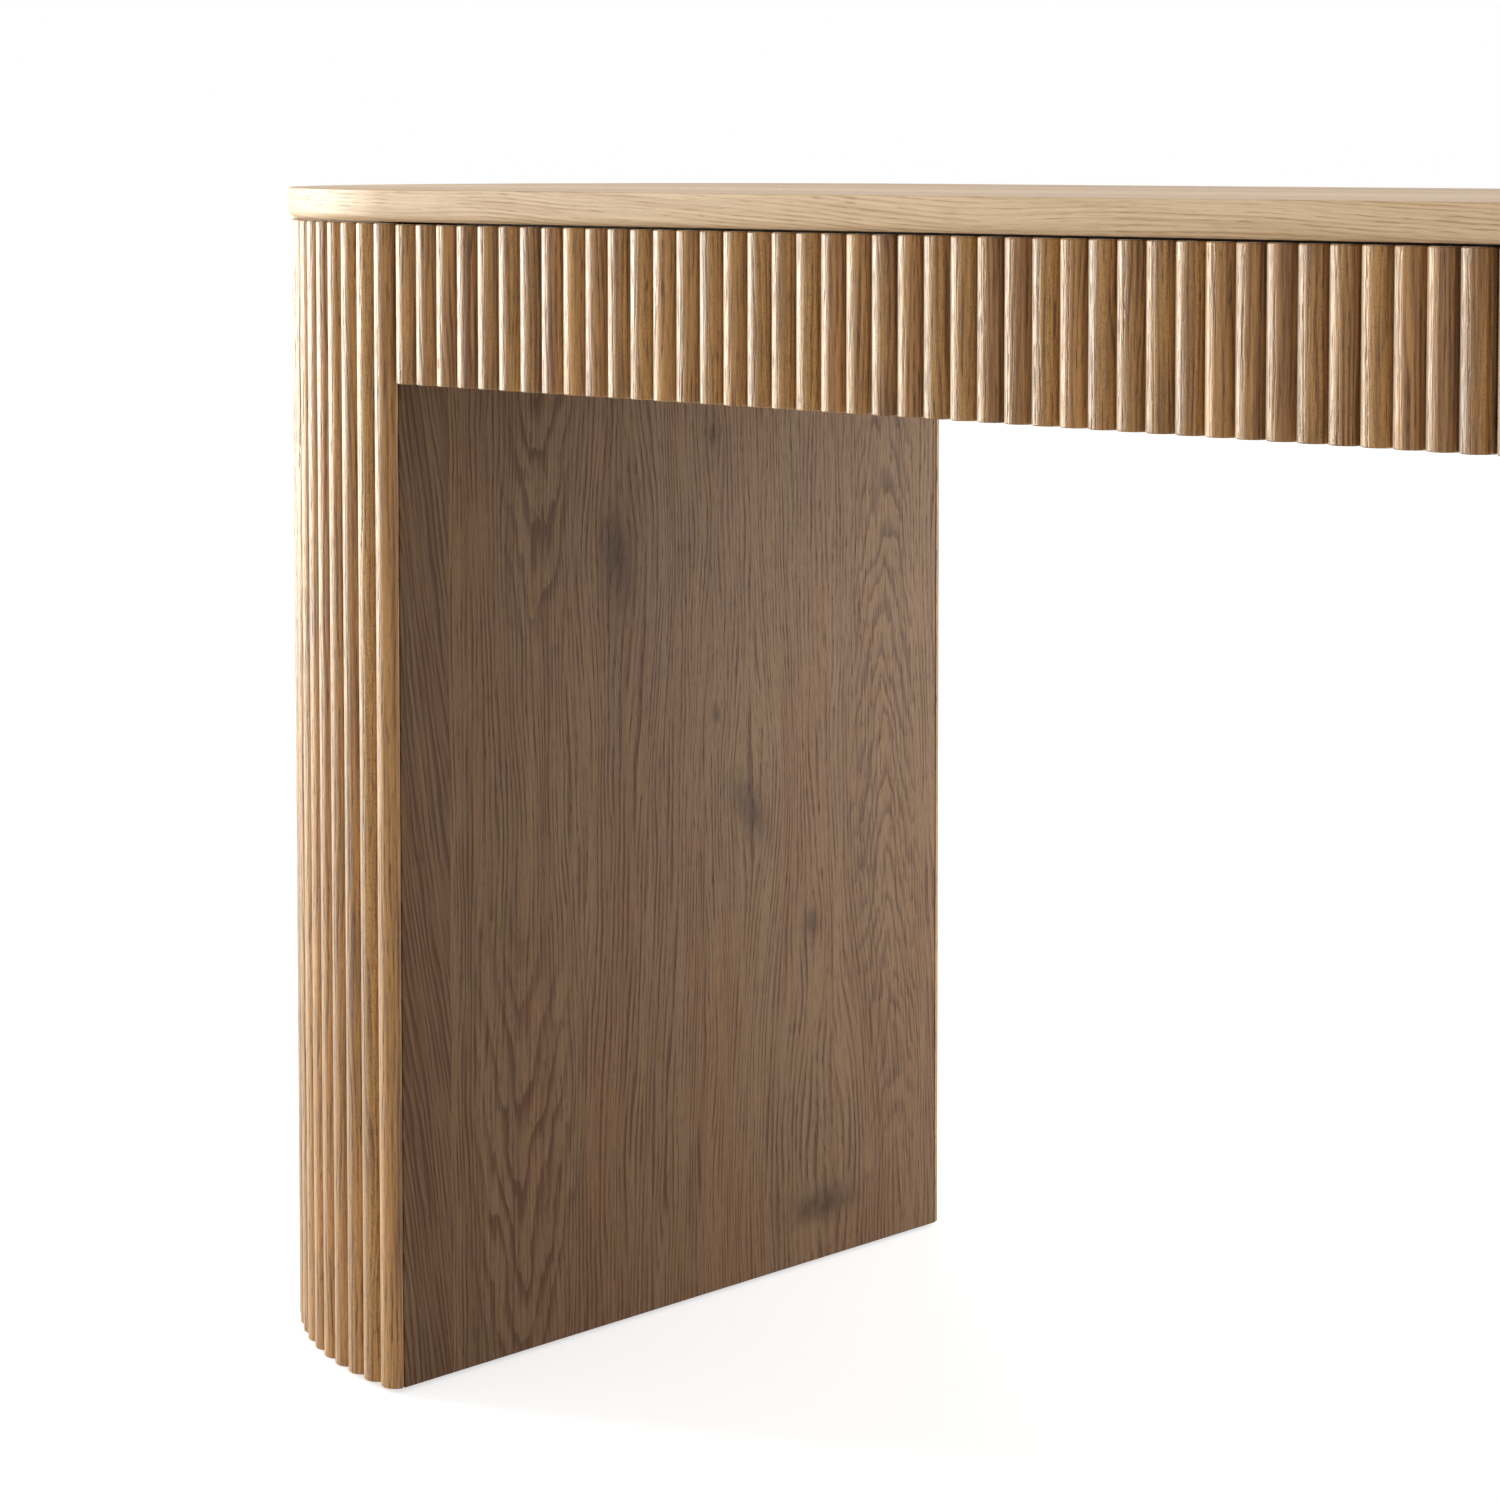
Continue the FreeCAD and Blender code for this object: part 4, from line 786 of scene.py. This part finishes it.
class DESK_OT_flat_reeds(bpy.types.Operator):
    """Makes the straight rows of reeds on the drawer fronts and along the back"""
    bl_idname = "desk.flat_reeds"
    bl_label = "Reeds on drawers and back"

    def execute(self, context):
        sizes = context.scene.desk_sizes
        oak = bpy.data.materials.get("reed oak") or reed_oak(context.scene.desk_finish)
        rows = [(f"{side}_drawer_reeds", f"{side}_drawer", sizes.front_reed_count, -1) for side in SIDES]
        rows.append(("back_reeds", "desk", sizes.back_reed_count, 1))
        for seed, (node, body, count, facing) in enumerate(rows, start=ROW_SEED):
            low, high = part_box(node)
            outline, outward = half_round(sizes.reed_width, high.y - low.y, sizes.reed_shoulder, REED_STEPS)
            rings = eased(outline, outward, high.z - low.z, sizes.reed_ease, sizes.reed_ease, 1)
            ground = high.y if facing < 0 else low.y
            half = sizes.reed_width / 2
            across = np.linspace(low.x + half, high.x - half, count)
            places = [upright((x, ground, low.z), (0, facing, 0)) for x in across]
            made = piece(node.replace("reeds", "reed_row"), rings, places, [oak], seed, ROW_TINTS)
            stand(made, body, "oak_reeds", node)
        return {"FINISHED"}


class DESK_OT_panels(bpy.types.Operator):
    """Makes the veneered inner panels of the legs"""
    bl_idname = "desk.panels"
    bl_label = "Leg panels"

    def execute(self, context):
        sizes, finish = context.scene.desk_sizes, context.scene.desk_finish
        veneer = leaf_oak("panel veneer", "Z", finish.panel_light, finish.panel_dark,
                          finish.satin + MATT["panel"], PANEL_INDEX, PANEL_LEAVES, PANEL_SHADES, FLAMES,
                          KNOTS, first=NARROW_DARKER, lean=NARROW_LEAN)
        for side in SIDES:
            low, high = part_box(f"{side}_leg_panel")
            outline, outward = flat_rounds(high.x - low.x, high.y - low.y, sizes.board_ease, EASE_STEPS)
            rings = eased(outline, outward, high.z - low.z, sizes.board_ease, sizes.board_ease, EASE_STEPS)
            middle = (low + high) / 2
            place = [[(middle.x, middle.y, low.z), (1, 0, 0), (0, 1, 0), (0, 0, 1)]]
            made = piece(f"{side}_inner_panel", rings, place, [veneer])
            stand(made, "desk", "oak_veneer", f"{side}_leg_panel")
        return {"FINISHED"}


class DESK_OT_fronts(bpy.types.Operator):
    """Makes the boards behind the reeds of the drawers"""
    bl_idname = "desk.fronts"
    bl_label = "Drawer fronts"

    def execute(self, context):
        sizes, finish = context.scene.desk_sizes, context.scene.desk_finish
        oak = plain_wood("front board oak", "X", finish.panel_light, finish.panel_dark,
                         finish.satin + MATT["case"])
        for side in SIDES:
            low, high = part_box(f"{side}_drawer_front")
            outline, outward = flat_rounds(high.y - low.y, high.z - low.z, sizes.board_ease, EASE_STEPS)
            rings = eased(outline, outward, high.x - low.x, sizes.board_ease, sizes.board_ease, EASE_STEPS)
            middle = (low + high) / 2
            place = [[(low.x, middle.y, middle.z), (0, 1, 0), (0, 0, 1), (1, 0, 0)]]
            made = piece(f"{side}_front_board", rings, place, [oak])
            stand(made, f"{side}_drawer", "case_board", f"{side}_drawer_front")
        return {"FINISHED"}


class DESK_OT_glides(bpy.types.Operator):
    """Makes the felt glides under the legs"""
    bl_idname = "desk.glides"
    bl_label = "Felt glides"

    def execute(self, context):
        sizes = context.scene.desk_sizes
        felt = wool_felt(context.scene.desk_finish)
        for side in SIDES:
            low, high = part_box(f"{side}_leg_glides")
            angle = np.linspace(0, 2 * np.pi, GLIDE_STEPS, endpoint=False)
            outward = np.stack([np.cos(angle), np.sin(angle)], axis=1)
            rings = eased(outward * GLIDE_RADIUS, outward, high.z - low.z, sizes.felt_ease, sizes.felt_ease,
                          EASE_STEPS)
            sign = -1 if side == "left" else 1
            far = (high.y - low.y) / 2 - GLIDE_RADIUS
            turns = (np.arange(GLIDE_COUNT) - (GLIDE_COUNT - 1) / 2) * GLIDE_SPREAD
            ring = far / math.sin(turns[-1])
            outmost = GLIDE_RADIUS + ring * math.cos(0.5 * GLIDE_SPREAD)
            axis = (low.x if sign < 0 else high.x) - sign * outmost
            places = [[(axis + sign * ring * math.cos(turn), ring * math.sin(turn), low.z),
                       (1, 0, 0), (0, 1, 0), (0, 0, 1)] for turn in turns]
            made = piece(f"{side}_felt_glides", rings, places, [felt])
            stand(made, "desk", "felt", f"{side}_leg_glides")
        return {"FINISHED"}


class DESK_OT_case_finish(bpy.types.Operator):
    """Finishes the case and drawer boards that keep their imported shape"""
    bl_idname = "desk.case_finish"
    bl_label = "Case and drawer boards"

    def execute(self, context):
        finish = context.scene.desk_finish
        case = (finish.panel_light, finish.panel_dark, finish.satin + MATT["case"])
        box = (finish.box_light, finish.box_dark, BOX_ROUGH)
        long_case = plain_wood("case oak along", "X", *case)
        deep_case = plain_wood("case oak deep", "Y", *case)
        long_box = plain_wood("drawer wood along", "X", *box)
        deep_box = plain_wood("drawer wood deep", "Y", *box)
        finish_nodes(long_case, "case_back", "case_bottom", "case_top_rails")
        finish_nodes(deep_case, "case_left_side", "case_right_side", "case_divider")
        for side in SIDES:
            finish_nodes(long_box, f"{side}_drawer_back", f"{side}_drawer_bottom", f"{side}_drawer_dowels")
            finish_nodes(deep_box, f"{side}_drawer_left_side", f"{side}_drawer_right_side")
        ply = layered_ply(finish)
        for side in SIDES:
            finish_nodes(ply, f"{side}_leg_skin", f"{side}_leg_ribs")
        return {"FINISHED"}


class DESK_OT_hardware_finish(bpy.types.Operator):
    """Finishes the slides, their balls and cages, and the screws and bolts"""
    bl_idname = "desk.hardware_finish"
    bl_label = "Slides and fasteners"

    def execute(self, context):
        finish = context.scene.desk_finish
        zinc = plated_steel("plated steel", finish.steel, ZINC_ROUGH)
        polished = plated_steel("bearing steel", BALL_COLOUR, BALL_ROUGH)
        # The case screws get zinc darkened as painted shade, so that no glint shows through the seams between
        # the back reeds
        screw_shade_zinc = plated_steel("zinc darkened as painted shade", [part * SCREW_SHADE_SHARE for part in finish.steel], SCREW_SHADE_ROUGH)
        finish_nodes(screw_shade_zinc, "case_screws")
        finish_nodes(zinc, "top_screws", "leg_bolts", "leg_inserts", "fixed_rail_screws")
        for drawer in (f"{side}_drawer" for side in SIDES):
            for hand in SIDES:
                rails = (f"{drawer}_{hand}_{kind}_rail" for kind in ("fixed", "middle", "moving"))
                finish_nodes(zinc, *rails)
            finish_nodes(zinc, f"{drawer}_rail_screws", f"{drawer}_outer_cages", f"{drawer}_inner_cages")
            finish_nodes(polished, f"{drawer}_outer_balls", f"{drawer}_inner_balls")
        return {"FINISHED"}


def seen_rays(nodes):
    """One for the rays that see the white background: from the camera, by gloss or through glass."""
    path = nodes.add("ShaderNodeLightPath").outputs
    seen = nodes.math("MAXIMUM", path["Is Camera Ray"], path["Is Glossy Ray"])
    return nodes.math("MAXIMUM", seen, path["Is Transmission Ray"])


class DESK_OT_stage(bpy.types.Operator):
    """Sets up the floor, the light and the camera"""
    bl_idname = "desk.stage"
    bl_label = "Studio"

    def execute(self, context):
        scene, stage = context.scene, context.scene.desk_stage
        scene.view_settings.view_transform = "Standard"

        reach = np.array([[-1, -1], [1, -1], [1, 1], [-1, 1]]) * FLOOR_REACH
        mesh = bpy.data.meshes.new("floor")
        mesh.from_pydata(np.concatenate([reach, np.zeros((4, 1))], axis=1), [], [[0, 1, 2, 3]])
        floor = bpy.data.objects.new("floor", mesh)
        scene.collection.objects.link(floor)
        paint = bpy.data.materials.new("studio floor")
        paint.use_nodes = True
        paint.node_tree.nodes.clear()
        nodes = Nodes(paint.node_tree)
        seen = seen_rays(nodes)
        matt = nodes.add("ShaderNodeBsdfDiffuse", {0: FLOOR_COLOUR})
        glow = nodes.add("ShaderNodeEmission", {0: WHITE, 1: nodes.times(seen, stage.floor_lift)})
        both = nodes.add("ShaderNodeAddShader", {0: matt.outputs[0], 1: glow.outputs[0]})
        nodes.add("ShaderNodeOutputMaterial", {0: both.outputs[0]})
        mesh.materials.append(paint)

        world = bpy.data.worlds.new("studio")
        world.use_nodes = True
        world.node_tree.nodes.clear()
        nodes = Nodes(world.node_tree)
        seen = seen_rays(nodes)
        strength = nodes.span(seen, 0.0, 1.0, stage.ambient, 1.0)
        tint = nodes.mix(seen, solid(stage.ambient_tint), WHITE)
        sky = nodes.add("ShaderNodeBackground", {0: tint, 1: strength})
        nodes.add("ShaderNodeOutputWorld", {0: sky.outputs[0]})
        scene.world = world

        def lamp(name, power, tint, place, aim, wide, tall):
            """A soft rectangular lamp that looks at a point and isn't seen itself."""
            light = bpy.data.lights.new(name, "AREA")
            light.shape, light.size, light.size_y = "RECTANGLE", wide, tall
            light.energy, light.color = power, tint
            made = bpy.data.objects.new(name, light)
            made.location = place
            made.rotation_euler = (Vector(aim) - Vector(place)).to_track_quat("-Z", "Y").to_euler()
            made.visible_camera = False
            scene.collection.objects.link(made)
            return made

        lamp("key", stage.key_power, stage.key_tint, *KEY)
        card = lamp("card", stage.card_power, stage.key_tint, *CARD)
        card.visible_diffuse = False
        lamp("fill", stage.fill_power, stage.ambient_tint, *FILL)

        eye = bpy.data.cameras.new("camera")
        eye.lens, eye.sensor_width = stage.lens, SENSOR
        eye.shift_x, eye.shift_y = stage.rise
        eye.clip_start, eye.clip_end = CLIP
        camera = bpy.data.objects.new("camera", eye)
        camera.location = stage.place
        camera.rotation_euler = Euler((math.pi / 2 - stage.tilt, 0.0, stage.turn))
        scene.collection.objects.link(camera)
        scene.camera = camera
        return {"FINISHED"}


OPERATORS = (
    DESK_OT_stage,
    DESK_OT_groups,
    DESK_OT_top,
    DESK_OT_leg_reeds,
    DESK_OT_flat_reeds,
    DESK_OT_panels,
    DESK_OT_fronts,
    DESK_OT_glides,
    DESK_OT_case_finish,
    DESK_OT_hardware_finish,
)


class DESK_PT_panel(bpy.types.Panel):
    """The desk's sizes, finishes and steps"""
    bl_idname = "DESK_PT_panel"
    bl_label = "Writing desk"
    bl_space_type = "VIEW_3D"
    bl_region_type = "UI"
    bl_category = "Desk"

    def draw(self, context):
        for values in (context.scene.desk_sizes, context.scene.desk_finish, context.scene.desk_stage):
            box = self.layout.box()
            for name in values.__annotations__:
                box.prop(values, name)
        for operator in OPERATORS:
            self.layout.operator(operator.bl_idname)


CLASSES = (DeskSizes, DeskFinish, DeskStage, *OPERATORS, DESK_PT_panel)


def register():
    """Registers the classes and hangs their values on the scene."""
    for item in CLASSES:
        bpy.utils.register_class(item)
    bpy.types.Scene.desk_sizes = PointerProperty(type=DeskSizes)
    bpy.types.Scene.desk_finish = PointerProperty(type=DeskFinish)
    bpy.types.Scene.desk_stage = PointerProperty(type=DeskStage)


def unregister():
    """Takes the values and the classes away again."""
    del bpy.types.Scene.desk_stage
    del bpy.types.Scene.desk_finish
    del bpy.types.Scene.desk_sizes
    for item in reversed(CLASSES):
        bpy.utils.unregister_class(item)


def main():
    """Builds the whole desk in order."""
    register()
    bpy.ops.desk.stage()
    bpy.ops.desk.groups()
    bpy.ops.desk.top()
    bpy.ops.desk.leg_reeds()
    bpy.ops.desk.flat_reeds()
    bpy.ops.desk.panels()
    bpy.ops.desk.fronts()
    bpy.ops.desk.glides()
    bpy.ops.desk.case_finish()
    bpy.ops.desk.hardware_finish()


if __name__ == "__main__":
    main()
